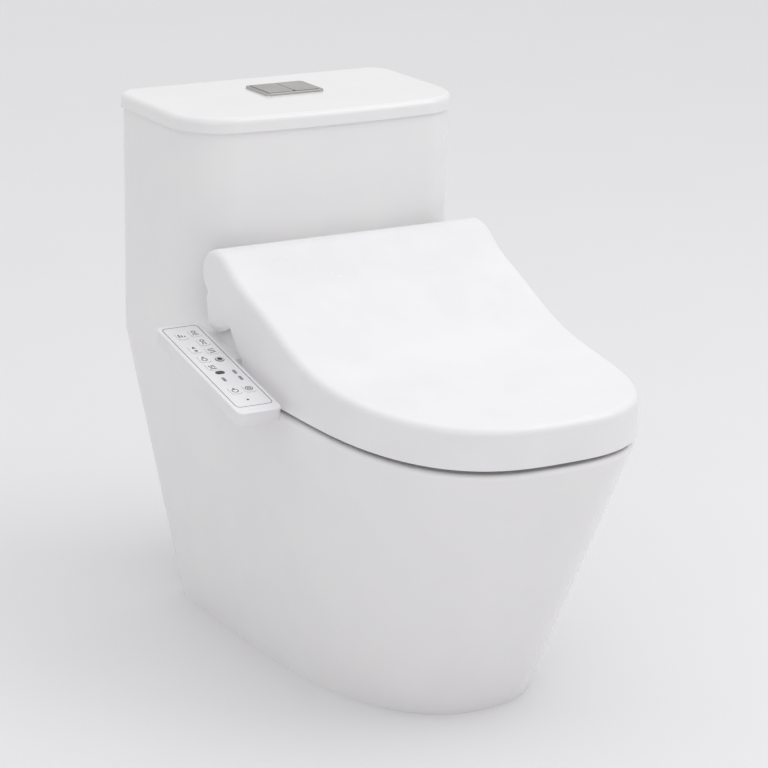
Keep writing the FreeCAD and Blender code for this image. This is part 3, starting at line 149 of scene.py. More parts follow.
@dataclass(frozen=True)
class Finish:
    """One real material with the way its surface was made."""

    name: str
    tone: str
    second: str
    roughness: float
    grain: Grain
    grain_mm: float
    relief_mm: float
    drift_mm: float = 80.0
    metallic: float = 0.0
    ior: float = 1.5
    coat: float = 0.0
    sheen: float = 0.0
    glow: float = 0.0

    def build(self) -> bpy.types.Material:
        """Make the material's nodes.

        Returns:
            The material, reading Object coordinates.
        """
        material = bpy.data.materials.new(self.name)
        material.use_nodes = True
        tree = material.node_tree
        shader = tree.nodes["Principled BSDF"]
        place = add_node(tree, "ShaderNodeTexCoord").outputs["Object"]
        shader.inputs["Metallic"].default_value = self.metallic
        if not self.metallic:
            shader.inputs["IOR"].default_value = self.ior
        shader.inputs["Coat Weight"].default_value = self.coat
        shader.inputs["Coat Roughness"].default_value = COAT_ROUGHNESS
        shader.inputs["Sheen Weight"].default_value = self.sheen
        drift = self._noise(tree, place, self.drift_mm, detail=3)
        shade = add_node(tree, "ShaderNodeMix", {"data_type": "RGBA"},
                         {"Factor": self._spread(tree, drift, COLOUR_LOW, COLOUR_HIGH),
                          "A": paint(self.tone), "B": paint(self.second)})
        colour = shade.outputs["Result"]
        stretched = place
        if self.grain is Grain.BRUSHED:
            stretched = add_node(tree, "ShaderNodeMapping", None,
                                 {"Vector": place, "Scale": (1.0, SCRATCH_STRETCH, 1.0)}).outputs["Vector"]
        fine = self._noise(tree, stretched, self.grain_mm, detail=4)
        relief = fine
        if self.grain is Grain.GLAZED:
            swell = self._noise(tree, place, SWELL_MM, detail=1)
            relief = add_node(tree, "ShaderNodeMath", {"operation": "MULTIPLY_ADD"},
                              {0: swell, 1: SWELL_WEIGHT, 2: fine}).outputs[0]
            colour = self._pin_specks(tree, place, colour)
        if self.grain is Grain.LAMINATED:
            colour = self._tracks(tree, place, colour)
        tree.links.new(colour, shader.inputs["Base Color"])
        rough = add_node(tree, "ShaderNodeMapRange", None,
                         {"Value": drift, "From Min": GLOSS_LOW, "From Max": GLOSS_HIGH,
                          "To Min": self.roughness * (1 - GLOSS_CHANGE),
                          "To Max": self.roughness * (1 + GLOSS_CHANGE)})
        tree.links.new(rough.outputs["Result"], shader.inputs["Roughness"])
        bump = add_node(tree, "ShaderNodeBump", None,
                        {"Height": relief, "Strength": BUMP_STRENGTH, "Distance": self.relief_mm * MM})
        tree.links.new(bump.outputs["Normal"], shader.inputs["Normal"])
        if self.glow:
            shader.inputs["Emission Color"].default_value = paint(self.tone)
            shader.inputs["Emission Strength"].default_value = self.glow
        return material

    @staticmethod
    def _noise(tree: bpy.types.NodeTree, place: bpy.types.NodeSocket, size_mm: float,
               detail: float) -> bpy.types.NodeSocket:
        """A noise whose features are about size_mm across."""
        node = add_node(tree, "ShaderNodeTexNoise", None,
                        {"Vector": place, "Scale": MM_PER_METRE / size_mm, "Detail": detail,
                         "Roughness": NOISE_ROUGHNESS})
        return node.outputs["Fac"]

    @staticmethod
    def _spread(tree: bpy.types.NodeTree, value: bpy.types.NodeSocket, low: float,
                high: float) -> bpy.types.NodeSocket:
        """Stretch a value from low to high over 0 to 1."""
        node = add_node(tree, "ShaderNodeMapRange", None,
                        {"Value": value, "From Min": low, "From Max": high})
        return node.outputs["Result"]

    @staticmethod
    def _pin_specks(tree: bpy.types.NodeTree, place: bpy.types.NodeSocket,
                    colour: bpy.types.NodeSocket) -> bpy.types.NodeSocket:
        """Faint specks of about 0.5 mm, some 20 mm apart, as fired glaze has."""
        cells = add_node(tree, "ShaderNodeTexVoronoi", None,
                         {"Vector": place, "Scale": MM_PER_METRE / SPECK_SPACING_MM})
        speck = add_node(tree, "ShaderNodeMapRange", None,
                         {"Value": cells.outputs["Distance"], "From Min": SPECK_CORE, "From Max": SPECK_EDGE,
                          "To Min": SPECK_STRENGTH, "To Max": 0.0})
        mix = add_node(tree, "ShaderNodeMix", {"data_type": "RGBA"},
                       {"Factor": speck.outputs["Result"], "A": colour, "B": paint(SPECK_TONE)})
        return mix.outputs["Result"]

    @staticmethod
    def _tracks(tree: bpy.types.NodeTree, place: bpy.types.NodeSocket,
                colour: bpy.types.NodeSocket) -> bpy.types.NodeSocket:
        """Copper tracks of about 0.6 mm under the board's lacquer."""
        tracks = add_node(tree, "ShaderNodeTexBrick", {"offset": TRACK_STAGGER},
                          {"Vector": place, "Scale": 1.0, "Mortar Size": TRACK_MM * MM,
                           "Brick Width": TRACK_LENGTH_MM * MM, "Row Height": TRACK_PITCH_MM * MM,
                           "Color1": BLACK, "Color2": BLACK, "Mortar": WHITE})
        mix = add_node(tree, "ShaderNodeMix", {"data_type": "RGBA"},
                       {"Factor": tracks.outputs["Color"], "A": colour, "B": paint(TRACK_TONE)})
        return mix.outputs["Result"]


# Vitreous china under a clear fired glaze: a hard, wet gloss over very gentle waves.
CHINA = Finish(
    "glazed_vitreous_china", "f4f3f3", "f1f0f1", 0.10, Grain.GLAZED, 2.5, 0.012, ior=1.52, coat=0.3,
)
# Injection-moulded gloss polypropylene: white, with a soft gloss from a polished mould.
POLYPROPYLENE = Finish(
    "moulded_gloss_polypropylene", "f3f2f3", "efeef0", 0.24, Grain.MOULDED, 0.9, 0.006, ior=1.49,
)
# Injection-moulded ABS of the control panel, a little duller from a fine eroded mould.
ABS_PANEL = Finish(
    "moulded_satin_abs", "f0eff1", "ecebed", 0.32, Grain.MOULDED, 0.6, 0.01, ior=1.53,
)
# Key caps of ABS, polished so that they catch the light against the panel.
ABS_KEY = Finish(
    "moulded_polished_abs", "f4f4f5", "f0f0f2", 0.18, Grain.MOULDED, 0.8, 0.004, ior=1.53,
)
# Black ABS, polished.
ABS_BLACK = Finish(
    "moulded_black_abs", "141416", "1b1b1e", 0.2, Grain.MOULDED, 0.8, 0.004, ior=1.53,
)
# Black-backed clear polycarbonate of a small receiver window.
POLYCARBONATE = Finish(
    "black_polycarbonate_window", "050506", "0a0a0c", 0.08,
    Grain.MOULDED, 1.5, 0.002, ior=1.58, coat=0.4,
)
# Grey diffusing polycarbonate over small lamps.
LAMP_LENS = Finish(
    "grey_polycarbonate_lens", "8d9096", "84878e", 0.35, Grain.MOULDED, 0.5, 0.004, ior=1.58,
)
# Red epoxy of a light-emitting diode with a faint glow.
LED_EPOXY = Finish(
    "red_diode_epoxy", "6e1016", "5a0c12", 0.15, Grain.MOULDED, 1.0, 0.002, ior=1.54, glow=0.05,
)
# Nickel-plated ABS with a brushed satin top: long fine scratches, broad highlights.
SATIN_NICKEL = Finish(
    "satin_nickel_plate", "bdbbb8", "b3b1af", 0.34, Grain.BRUSHED, 0.5, 0.01, metallic=1.0,
)
# Stainless steel sheet, bolts and pins, drawn and tumbled.
STAINLESS = Finish(
    "tumbled_stainless_steel", "b6b6b8", "a9a9ac", 0.3, Grain.BRUSHED, 0.5, 0.01, metallic=1.0,
)
# Polyacetal of valve bodies: pale, waxy, slightly see-through.
ACETAL = Finish(
    "moulded_acetal", "dfe0e1", "d6d8da", 0.42, Grain.MOULDED, 0.7, 0.012, ior=1.48,
)
# Blue polypropylene of the flush canister.
BLUE_PP = Finish(
    "moulded_blue_polypropylene", "4b79a8", "426d99", 0.38, Grain.MOULDED, 0.7, 0.01, ior=1.49,
)
# Dark glass-filled nylon of motor, fan and guide.
NYLON = Finish(
    "dark_glass_filled_nylon", "2b2c2e", "35363a", 0.5, Grain.MOULDED, 0.5, 0.03, ior=1.53,
)
# EPDM rubber of washers and seals, with bloom.
EPDM = Finish(
    "black_epdm_rubber", "1d1d1e", "29292a", 0.75, Grain.SOFT, 0.6, 0.05, ior=1.5, sheen=0.15,
)
# Pale thermoplastic rubber of the rest pads.
PAD_TPE = Finish(
    "pale_thermoplastic_rubber", "d9d9da", "cfcfd1", 0.6, Grain.SOFT, 0.6, 0.03, ior=1.5, sheen=0.1,
)
# Nickel-plated brass of the inlet thread.
BRASS = Finish(
    "plated_brass", "c9ad6a", "bd9f5b", 0.28, Grain.BRUSHED, 0.6, 0.01, metallic=1.0,
)
# Die-cast aluminium of the heater tank.
CAST_ALUMINIUM = Finish(
    "die_cast_aluminium", "b9bbbe", "aeb0b3", 0.5, Grain.SOFT, 1.2, 0.06, metallic=1.0,
)
# Aluminium foil bonded under the seat's skin.
FOIL = Finish(
    "rolled_aluminium_foil", "c8c9cb", "bfc0c2", 0.25, Grain.BRUSHED, 1.0, 0.02, metallic=1.0,
)
# Glass-epoxy circuit board under green lacquer.
BOARD = Finish(
    "glass_epoxy_board", "1d5a34", "18502d", 0.35, Grain.LAMINATED, 0.5, 0.01, ior=1.55,
)
# Grey screen ink of the key symbols; also the painted shade of the groove round the key field.
INK_AND_GROOVE_SHADE = Finish(
    "grey_screen_ink_and_groove_shade", "515359", "494b51", 0.55, Grain.PRINTED, 0.4, 0.003, ior=1.5,
)
# White screen ink of the one symbol on the black key.
WHITE_INK = Finish(
    "white_screen_ink", "dcdcde", "d3d3d6", 0.55, Grain.PRINTED, 0.4, 0.003, ior=1.5,
)

FINISH_OF_SLOT: dict[str, Finish] = {
    "pan_ceramic": CHINA,
    "tank_ceramic": CHINA,
    "tank_lid_ceramic": CHINA,
    "seat_plastic": POLYPROPYLENE,
    "lid_plastic": POLYPROPYLENE,
    "unit_plastic": POLYPROPYLENE,
    "panel_plastic": ABS_PANEL,
    "key_plastic": ABS_KEY,
    "stop_key_plastic": ABS_BLACK,
    "window_plastic": POLYCARBONATE,
    "lamp_plastic": LAMP_LENS,
    "power_lamp_plastic": LED_EPOXY,
    "plate_metal": SATIN_NICKEL,
    "button_metal": SATIN_NICKEL,
    "valve_plastic": ACETAL,
    "canister_plastic": BLUE_PP,
    "float_plastic": ACETAL,
    "seal_rubber": EPDM,
    "pad_rubber": PAD_TPE,
    "bolt_steel": STAINLESS,
    "pin_steel": STAINLESS,
    "mount_steel": STAINLESS,
    "wand_metal": STAINLESS,
    "heater_metal": CAST_ALUMINIUM,
    "foil_metal": FOIL,
    "inlet_brass": BRASS,
    "board_plastic": BOARD,
    "dark_plastic": NYLON,
}


class FinishBook:
    """The materials in use, each made once."""

    def __init__(self) -> None:
        """Start with no material made."""
        self.made: dict[str, bpy.types.Material] = {}

    def material(self, finish: Finish) -> bpy.types.Material:
        """Give the material of a finish, making it the first time."""
        if finish.name not in self.made:
            self.made[finish.name] = finish.build()
        return self.made[finish.name]

    def dress(self, piece: bpy.types.Object, finish: Finish) -> None:
        """Give a whole piece one finish."""
        piece.data.materials.clear()
        piece.data.materials.append(self.material(finish))


SLOT_OF_NODE: dict[str, str] = {row["node"]: row["material_slot"] for row in frame["record"]["subparts"]}


# ---------------------------------------------------------------- modelling
def alone(piece: bpy.types.Object) -> None:
    """Select one object only and make it the active one."""
    bpy.ops.object.select_all(action="DESELECT")
    piece.select_set(True)
    bpy.context.view_layer.objects.active = piece


@contextmanager
def editing(piece: bpy.types.Object, kind: str) -> Iterator[bmesh.types.BMesh]:
    """Open a piece's mesh with nothing selected.

    Args:
        piece: The object to edit.
        kind: VERT, EDGE or FACE, the kind of element that is selected.

    Returns:
        The mesh, whose elements can be selected before a tool runs.
    """
    alone(piece)
    bpy.ops.object.mode_set(mode="EDIT")
    bpy.ops.mesh.select_mode(type=kind)
    bpy.ops.mesh.select_all(action="DESELECT")
    yield bmesh.from_edit_mesh(piece.data)
    bpy.ops.object.mode_set(mode="OBJECT")


def pick(mesh: bmesh.types.BMesh, elements: Any, test: Callable[[Any], bool]) -> None:
    """Select the faces or edges that pass a test.

    Args:
        mesh: The mesh being edited.
        elements: Its faces or its edges.
        test: Says whether an element is wanted.
    """
    for element in elements:
        element.select_set(test(element))
    mesh.select_flush_mode()


def flat_end(face: bmesh.types.BMFace) -> bool:
    """Whether a face looks straight up or down."""
    return abs(face.normal.z) > FACING_Z


def upright(edge: bmesh.types.BMEdge) -> bool:
    """Whether an edge stands along Z."""
    first, second = edge.verts
    return (first.co.xy - second.co.xy).length < PLACE_TOLERANCE


def rim_edge(edge: bmesh.types.BMEdge) -> bool:
    """Whether an edge lies level."""
    first, second = edge.verts
    return abs(first.co.z - second.co.z) < LEVEL_TOLERANCE


def join(pieces: list[bpy.types.Object], name: str) -> bpy.types.Object:
    """Join several objects into one.

    Args:
        pieces: The objects; the first one keeps its place.
        name: The name of the result.

    Returns:
        The joined object.
    """
    alone(pieces[0])
    if len(pieces) > 1:
        for piece in pieces[1:]:
            piece.select_set(True)
        bpy.ops.object.join()
    pieces[0].name = name
    return pieces[0]


def settle(piece: bpy.types.Object, name: str, into: Matrix = Matrix()) -> bpy.types.Object:
    """Move a piece into its frame and leave its object at the origin.

    Args:
        piece: The shaped object.
        name: The piece's name.
        into: The frame in which it was drawn.

    Returns:
        The piece, with its place held by the mesh.
    """
    alone(piece)
    piece.matrix_world = into @ piece.matrix_world
    bpy.ops.object.transform_apply(location=True, rotation=True, scale=True)
    bpy.ops.object.mode_set(mode="EDIT")
    bpy.ops.mesh.select_all(action="SELECT")
    bpy.ops.mesh.normals_make_consistent(inside=False)
    if bmesh.from_edit_mesh(piece.data).calc_volume(signed=True) < 0:
        bpy.ops.mesh.flip_normals()
    bpy.ops.object.mode_set(mode="OBJECT")
    bpy.ops.object.shade_smooth_by_angle(angle=math.radians(SMOOTH_ANGLE))
    piece.name = name
    piece.data.name = name
    return piece


def copies(piece: bpy.types.Object, places: list[Point]) -> list[bpy.types.Object]:
    """Copy a piece, with its own mesh, to further places.

    Args:
        piece: The object modelled at the first place.
        places: Where each copy goes, in millimetres.

    Returns:
        The copies.
    """
    made = []
    for place in places:
        twin = piece.copy()
        twin.data = piece.data.copy()
        twin.location = Vector(place) * MM
        bpy.context.scene.collection.objects.link(twin)
        made.append(twin)
    return made


def prism(sides: int, radius: float, height: float, centre: Point) -> bpy.types.Object:
    """Start a round or many-sided upright block.

    Args:
        sides: The number of side faces.
        radius: The distance from the axis to a corner, in millimetres.
        height: The height, in millimetres.
        centre: The middle of the block, in millimetres.

    Returns:
        The block, still to be shaped.
    """
    bpy.ops.mesh.primitive_cylinder_add(
        vertices=sides, radius=radius * MM, depth=height * MM, location=Vector(centre) * MM
    )
    return bpy.context.object


def soften(piece: bpy.types.Object, wanted: Callable[[bmesh.types.BMEdge], bool], width: float,
           steps: int) -> None:
    """Round some of a piece's edges.

    Args:
        piece: The object.
        wanted: Picks the edges.
        width: The rounding's width, in millimetres.
        steps: The number of faces across the rounding.
    """
    with editing(piece, "EDGE") as mesh:
        pick(mesh, mesh.edges, wanted)
        bpy.ops.mesh.bevel(offset=width * MM, segments=steps, profile=0.5)


def bore(piece: bpy.types.Object, radius: float, length: float) -> None:
    """Cut a round hole along Z through a piece's middle.

    Args:
        piece: The object to cut.
        radius: The hole's radius, in millimetres.
        length: A length that is more than the piece's height, in millimetres.
    """
    bpy.ops.mesh.primitive_cylinder_add(
        vertices=ROUND_SIDES, radius=radius * MM, depth=length * MM, location=piece.location
    )
    cutter = bpy.context.object
    alone(piece)
    cut = piece.modifiers.new("bore", "BOOLEAN")
    cut.operation = "DIFFERENCE"
    cut.object = cutter
    bpy.ops.object.modifier_apply(modifier=cut.name)
    bpy.data.objects.remove(cutter)


def ring(outer: float, line: float, height: float, centre: Point) -> bpy.types.Object:
    """Model a flat ring.

    Args:
        outer: The outer radius, in millimetres.
        line: The width of the ring's band, in millimetres.
        height: The ring's height, in millimetres.
        centre: The middle of the ring, in millimetres.

    Returns:
        The ring.
    """
    piece = prism(RING_SIDES, outer, height, centre)
    with editing(piece, "FACE") as mesh:
        pick(mesh, mesh.faces, flat_end)
        bpy.ops.mesh.inset(thickness=line * MM)
        bpy.ops.mesh.delete(type="FACE")
        bpy.ops.mesh.select_mode(type="EDGE")
        bpy.ops.mesh.select_non_manifold()
        bpy.ops.mesh.bridge_edge_loops()
    return piece


def bar(wide: float, long: float, height: float, centre: Point, turn: float) -> bpy.types.Object:
    """Model a flat bar with rounded ends.

    Args:
        wide: The width, in millimetres.
        long: The length, in millimetres.
        height: The height, in millimetres.
        centre: The middle of the bar, in millimetres.
        turn: The turn about Z, in degrees.

    Returns:
        The bar.
    """
    bpy.ops.mesh.primitive_cube_add(
        size=1.0, location=Vector(centre) * MM, scale=(wide * MM, long * MM, height * MM),
        rotation=(0, 0, math.radians(turn)),
    )
    piece = bpy.context.object
    alone(piece)
    bpy.ops.object.transform_apply(location=False, rotation=False, scale=True)
    soften(piece, upright, BAR_END_SHARE * min(wide, long), BAR_END_STEPS)
    return piece


def thread(radius: float, pitch: float, turns: int, start: Point, name: str,
           into: Matrix) -> bpy.types.Object:
    """Model the raised helix of a screw thread.

    Args:
        radius: The radius at which the thread stands, in millimetres.
        pitch: The advance in one turn, in millimetres.
        turns: The number of turns.
        start: Where the axis starts, in millimetres.
        name: The piece's name.
        into: The turn that lays the Z axis along the threaded piece.

    Returns:
        The thread.
    """
    bpy.ops.mesh.primitive_circle_add(
        vertices=3, radius=THREAD_SHARE * pitch * MM, location=(radius * MM, 0, 0),
        rotation=(math.radians(90), 0, 0),
    )
    piece = bpy.context.object
    bpy.ops.object.transform_apply(location=True, rotation=True, scale=True)
    helix = piece.modifiers.new("helix", "SCREW")
    helix.screw_offset = pitch * MM
    helix.iterations = turns
    helix.steps = HELIX_STEPS
    helix.render_steps = HELIX_STEPS
    bpy.ops.object.modifier_apply(modifier=helix.name)
    with editing(piece, "EDGE"):
        bpy.ops.mesh.select_all(action="SELECT")
        bpy.ops.mesh.remove_doubles(threshold=LEVEL_TOLERANCE)
        bpy.ops.mesh.select_non_manifold()
        bpy.ops.mesh.fill_holes(sides=4)
    return settle(piece, name, Matrix.Translation(Vector(start) * MM) @ into)


# ---------------------------------------------------------------- sub-assemblies
@dataclass
class Assembly:
    """Pieces that belong together: they are dressed and detailed as one."""

    book: FinishBook

    def nodes(self) -> tuple[str, ...]:
        """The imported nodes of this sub-assembly."""
        raise NotImplementedError

    def build(self) -> None:
        """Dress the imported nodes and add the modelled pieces."""
        for name in self.nodes():
            self.book.dress(frame["nodes"][name], FINISH_OF_SLOT[SLOT_OF_NODE[name]])
        self.detail()
        LOG.info("%s: %d nodes dressed", type(self).__name__, len(self.nodes()))

    def detail(self) -> None:
        """Add the modelled pieces; a plain sub-assembly has none."""

    def place(self, piece: bpy.types.Object, body: str, slot: str, finish: Finish) -> None:
        """Dress a modelled piece and let it ride on its body.

        Args:
            piece: The finished object.
            body: The body it moves with.
            slot: The record's material slot; not used.
            finish: What it's made of.
        """
        self.book.dress(piece, finish)
        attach(piece, body)
        LOG.info("%s on %s: %d faces", piece.name, body, len(piece.data.polygons))


@dataclass
class Ceramics(Assembly):
    """The pan, the tank and the tank lid."""

    def nodes(self) -> tuple[str, ...]:
        """The three castings."""
        return "pan", "tank", "tank_lid"


@dataclass
class FlushGear(Assembly):
    """Flush plate, valves and the bolts that hold the tank."""

    valve_y: float = 195.0
    bolt_x: float = 76.0
    nut_corner: float = 8.4
    nut_bore: float = 4.0
    nut_height: float = 8.0
    nut_top_z: float = 332.0
    nut_rounding: float = 0.7
    fill_x: float = 125.0
    fill_y: float = 178.0
    fill_nut_corner: float = 18.0
    fill_nut_height: float = 10.0
    fill_nut_top_z: float = 346.0
    fill_nut_rounding: float = 1.0
    neck_radius: float = 11.0
    shank_radius: float = 10.4
    thread_low_z: float = 309.0
    thread_turns: int = 13
    grip_radius: float = 27.0
    grip_bore: float = 20.0
    grip_ribs: int = 24
    rib_height: float = 1.5

    def nodes(self) -> tuple[str, ...]:
        """Everything in and under the tank, and the plate on its lid."""
        return (
            "flush_plate", "flush_plate_clamp", "flush_plate_nut", "full_flush_button", "half_flush_button",
            "flush_valve_base", "flush_valve_nut", "tank_gasket", "flush_actuator", "flush_seal",
            "flush_canister", "fill_valve", "fill_valve_nut", "fill_float", "tank_bolts",
            "tank_bolt_washers", "tank_bolt_nuts",
        )

    def detail(self) -> None:
        """Model the nuts and the inlet thread."""
        self._tank_nuts()
        self._fill_nut()
        self._plate_nut()
        shank = thread(
            self.shank_radius, PIPE_PITCH, self.thread_turns,
            (self.fill_x, self.fill_y, self.thread_low_z), "fill_shank_thread", Matrix(),
        )
        self.place(shank, "base", SLOT_OF_NODE["fill_valve"], ACETAL)

    def _tank_nuts(self) -> None:
        """Two hexagon nuts under the tank shelf."""
        middle_z = self.nut_top_z - self.nut_height / 2
        first = prism(6, self.nut_corner, self.nut_height, (-self.bolt_x, self.valve_y, middle_z))
        soften(first, rim_edge, self.nut_rounding, 2)
        bore(first, self.nut_bore, 2 * self.nut_height)
        twins = copies(first, [(self.bolt_x, self.valve_y, middle_z)])
        nuts = settle(join([first] + twins, "tank_bolt_hexagon_nuts"), "tank_bolt_hexagon_nuts")
        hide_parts("tank_bolt_nuts")
        self.place(nuts, "base", SLOT_OF_NODE["tank_bolt_nuts"], STAINLESS)

    def _fill_nut(self) -> None:
        """The moulded nut that draws the fill valve down."""
        centre = (self.fill_x, self.fill_y, self.fill_nut_top_z - self.fill_nut_height / 2)
        nut = prism(6, self.fill_nut_corner, self.fill_nut_height, centre)
        soften(nut, rim_edge, self.fill_nut_rounding, 3)
        bore(nut, self.neck_radius, 2 * self.fill_nut_height)
        settle(nut, "fill_valve_hexagon_nut")
        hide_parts("fill_valve_nut")
        self.place(nut, "base", SLOT_OF_NODE["fill_valve_nut"], ACETAL)

    def _plate_nut(self) -> None:
        """The ribbed ring nut under the tank lid, turned by hand."""
        low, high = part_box("flush_plate_nut")
        height = (high[2] - low[2]) / MM
        centre = (0.0, self.valve_y, (low[2] + high[2]) / 2 / MM)
        nut = prism(2 * self.grip_ribs, self.grip_radius - self.rib_height, height, centre)
        step = math.pi / self.grip_ribs

        def rib(face: bmesh.types.BMFace) -> bool:
            """Every second side face."""
            middle = face.calc_center_median()
            return not flat_end(face) and int(math.atan2(middle.y, middle.x) // step) % 2 == 0

        with editing(nut, "FACE") as mesh:
            pick(mesh, mesh.faces, rib)
            bpy.ops.mesh.extrude_faces_move(TRANSFORM_OT_shrink_fatten={"value": self.rib_height * MM})
        bore(nut, self.grip_bore, 2 * height)
        settle(nut, "flush_plate_ring_nut")
        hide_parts("flush_plate_nut")
        self.place(nut, "tank_lid", SLOT_OF_NODE["flush_plate_nut"], ACETAL)


@dataclass
class WashUnit(Assembly):
    """The housing behind the seat with the wash and drying gear."""

    bolt_x: float = 75.0
    bolt_y: float = 7.0
    nut_corner: float = 10.5
    nut_bore: float = 4.0
    nut_rounding: float = 0.8
    inlet: Point = (182.5, 27.0, 370.0)
    inlet_radius: float = 10.3
    inlet_turns: int = 6

    def nodes(self) -> tuple[str, ...]:
        """The housing, its fixings, the wand, the dryer and the hinge."""
        return (
            "unit_tray", "unit_cover", "unit_mounting_plate", "unit_bolts", "unit_bolt_washers",
            "unit_bolt_nuts", "wash_wand", "wand_guide", "wand_motor", "wand_shutter", "dryer_housing",
            "dryer_wheel", "water_heater", "inlet_valve", "control_board", "cord_gland", "hinge_pins",
            "hinge_dampers",
        )

    def detail(self) -> None:
        """Model the fixing nuts and the inlet thread."""
        low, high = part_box("unit_bolt_nuts")
        height = (high[2] - low[2]) / MM
        middle_z = (low[2] + high[2]) / 2 / MM
        first = prism(6, self.nut_corner, height, (-self.bolt_x, self.bolt_y, middle_z))
        soften(first, rim_edge, self.nut_rounding, 2)
        bore(first, self.nut_bore, 2 * height)
        twins = copies(first, [(self.bolt_x, self.bolt_y, middle_z)])
        nuts = settle(join([first] + twins, "unit_hexagon_nuts"), "unit_hexagon_nuts")
        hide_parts("unit_bolt_nuts")
        self.place(nuts, "base", SLOT_OF_NODE["unit_bolt_nuts"], ACETAL)
        spigot = thread(
            self.inlet_radius, PIPE_PITCH, self.inlet_turns, self.inlet, "wash_inlet_thread",
            Matrix.Rotation(math.radians(90), 4, "Y"),
        )
        self.place(spigot, "base", SLOT_OF_NODE["inlet_valve"], BRASS)


@dataclass
class SeatAndLid(Assembly):
    """The heated seat and the lid that closes over it."""

    pad_places: tuple[tuple[float, float], ...] = ((150.0, -200.0), (104.0, -388.0))
    pad_radius: float = 8.0
    pad_edge: float = 1.4
    dimple: float = 0.8
    dimple_border: float = 2.4

    def nodes(self) -> tuple[str, ...]:
        """Both shells, the seat's foil and the rest pads."""
        return "seat_shell", "seat_base", "seat_heating_foil", "seat_pads", "lid_shell", "lid_pads"

    def detail(self) -> None:
        """Model the four soft pads under the seat."""
        low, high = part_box("seat_pads")
        height = (high[2] - low[2]) / MM
        middle_z = (low[2] + high[2]) / 2 / MM
        places = [(side * x, y, middle_z) for x, y in self.pad_places for side in (1, -1)]
        first = prism(ROUND_SIDES, self.pad_radius, height, places[0])
        foot_z = -height / 2 * MM

        def at_foot(edge: bmesh.types.BMEdge) -> bool:
            """Edges of the face that rests on the rim."""
            return all(abs(vertex.co.z - foot_z) < PLACE_TOLERANCE for vertex in edge.verts)

        soften(first, at_foot, self.pad_edge, 4)
        with editing(first, "FACE") as mesh:
            pick(mesh, mesh.faces, lambda face: face.normal.z < FACING_DOWN)
            bpy.ops.mesh.inset(thickness=self.dimple_border * MM)
            bpy.ops.transform.translate(value=(0, 0, self.dimple * MM))
        pads = settle(join([first] + copies(first, places[1:]), "seat_rest_pads"), "seat_rest_pads")
        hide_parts("seat_pads")
        self.place(pads, "seat", SLOT_OF_NODE["seat_pads"], PAD_TPE)


class Mark(Enum):
    """The forms that a key symbol is drawn with."""

    BAR = "bar"
    RING = "ring"
    POINT = "point"


@dataclass(frozen=True)
class Stroke:
    """One form of a key symbol, placed from the key's middle, in millimetres.

    A ring's size is its outer radius and its length the band's width; a bar has its width and
    length; a point has its corner's radius.
    """

    form: Mark
    across: float
    along: float
    size: float
    length: float = 0.0
    turn: float = 0.0


KEY_SYMBOLS: dict[str, tuple[Stroke, ...]] = {
    "key_rear_wash": (Stroke(Mark.RING, 0, -3.6, 3.0), Stroke(Mark.BAR, 0, 3.0, 1.3, 5.6),
                      Stroke(Mark.BAR, 2.8, 2.6, 1.3, 4.6, 24), Stroke(Mark.BAR, -2.8, 2.6, 1.3, 4.6, -24)),
    "key_front_wash": (Stroke(Mark.RING, 0, -3.6, 3.0), Stroke(Mark.BAR, 1.7, 3.0, 1.4, 5.4, 12),
                       Stroke(Mark.BAR, -1.7, 3.0, 1.4, 5.4, -12)),
    "key_dry": (Stroke(Mark.BAR, 0, -4.0, 8.6, 1.5, 8), Stroke(Mark.BAR, 0, 0, 8.6, 1.5, -8),
                Stroke(Mark.BAR, 0, 4.0, 8.6, 1.5, 8)),
    "key_stop": (Stroke(Mark.RING, 0, 0, 5.3, 1.9),),
    "key_massage": (Stroke(Mark.RING, 0, 0, 4.9), Stroke(Mark.RING, 0, 0, 2.4)),
    "key_pressure": (Stroke(Mark.BAR, 3.4, 1.6, 1.7, 3.4), Stroke(Mark.BAR, 0, 0.6, 1.7, 5.6),
                     Stroke(Mark.BAR, -3.4, -0.6, 1.7, 8.0)),
    "key_position": (Stroke(Mark.POINT, 0, -3.8, 3.3, 0.0, 90), Stroke(Mark.POINT, 0, 3.8, 3.3, 0.0, -90)),
    "key_water_heat": (Stroke(Mark.RING, 0, 1.6, 3.9), Stroke(Mark.POINT, 0, -4.0, 2.3, 0.0, 90)),
    "key_seat_heat": (Stroke(Mark.BAR, 0, 4.8, 9.0, 1.7), Stroke(Mark.BAR, -2.8, -0.8, 1.4, 6.4, 10),
                      Stroke(Mark.BAR, 0, -0.8, 1.4, 6.4, -10), Stroke(Mark.BAR, 2.8, -0.8, 1.4, 6.4, 10)),
    "key_power": (Stroke(Mark.RING, 0, 0.9, 4.3), Stroke(Mark.BAR, 0, -3.4, 1.6, 5.2)),
}


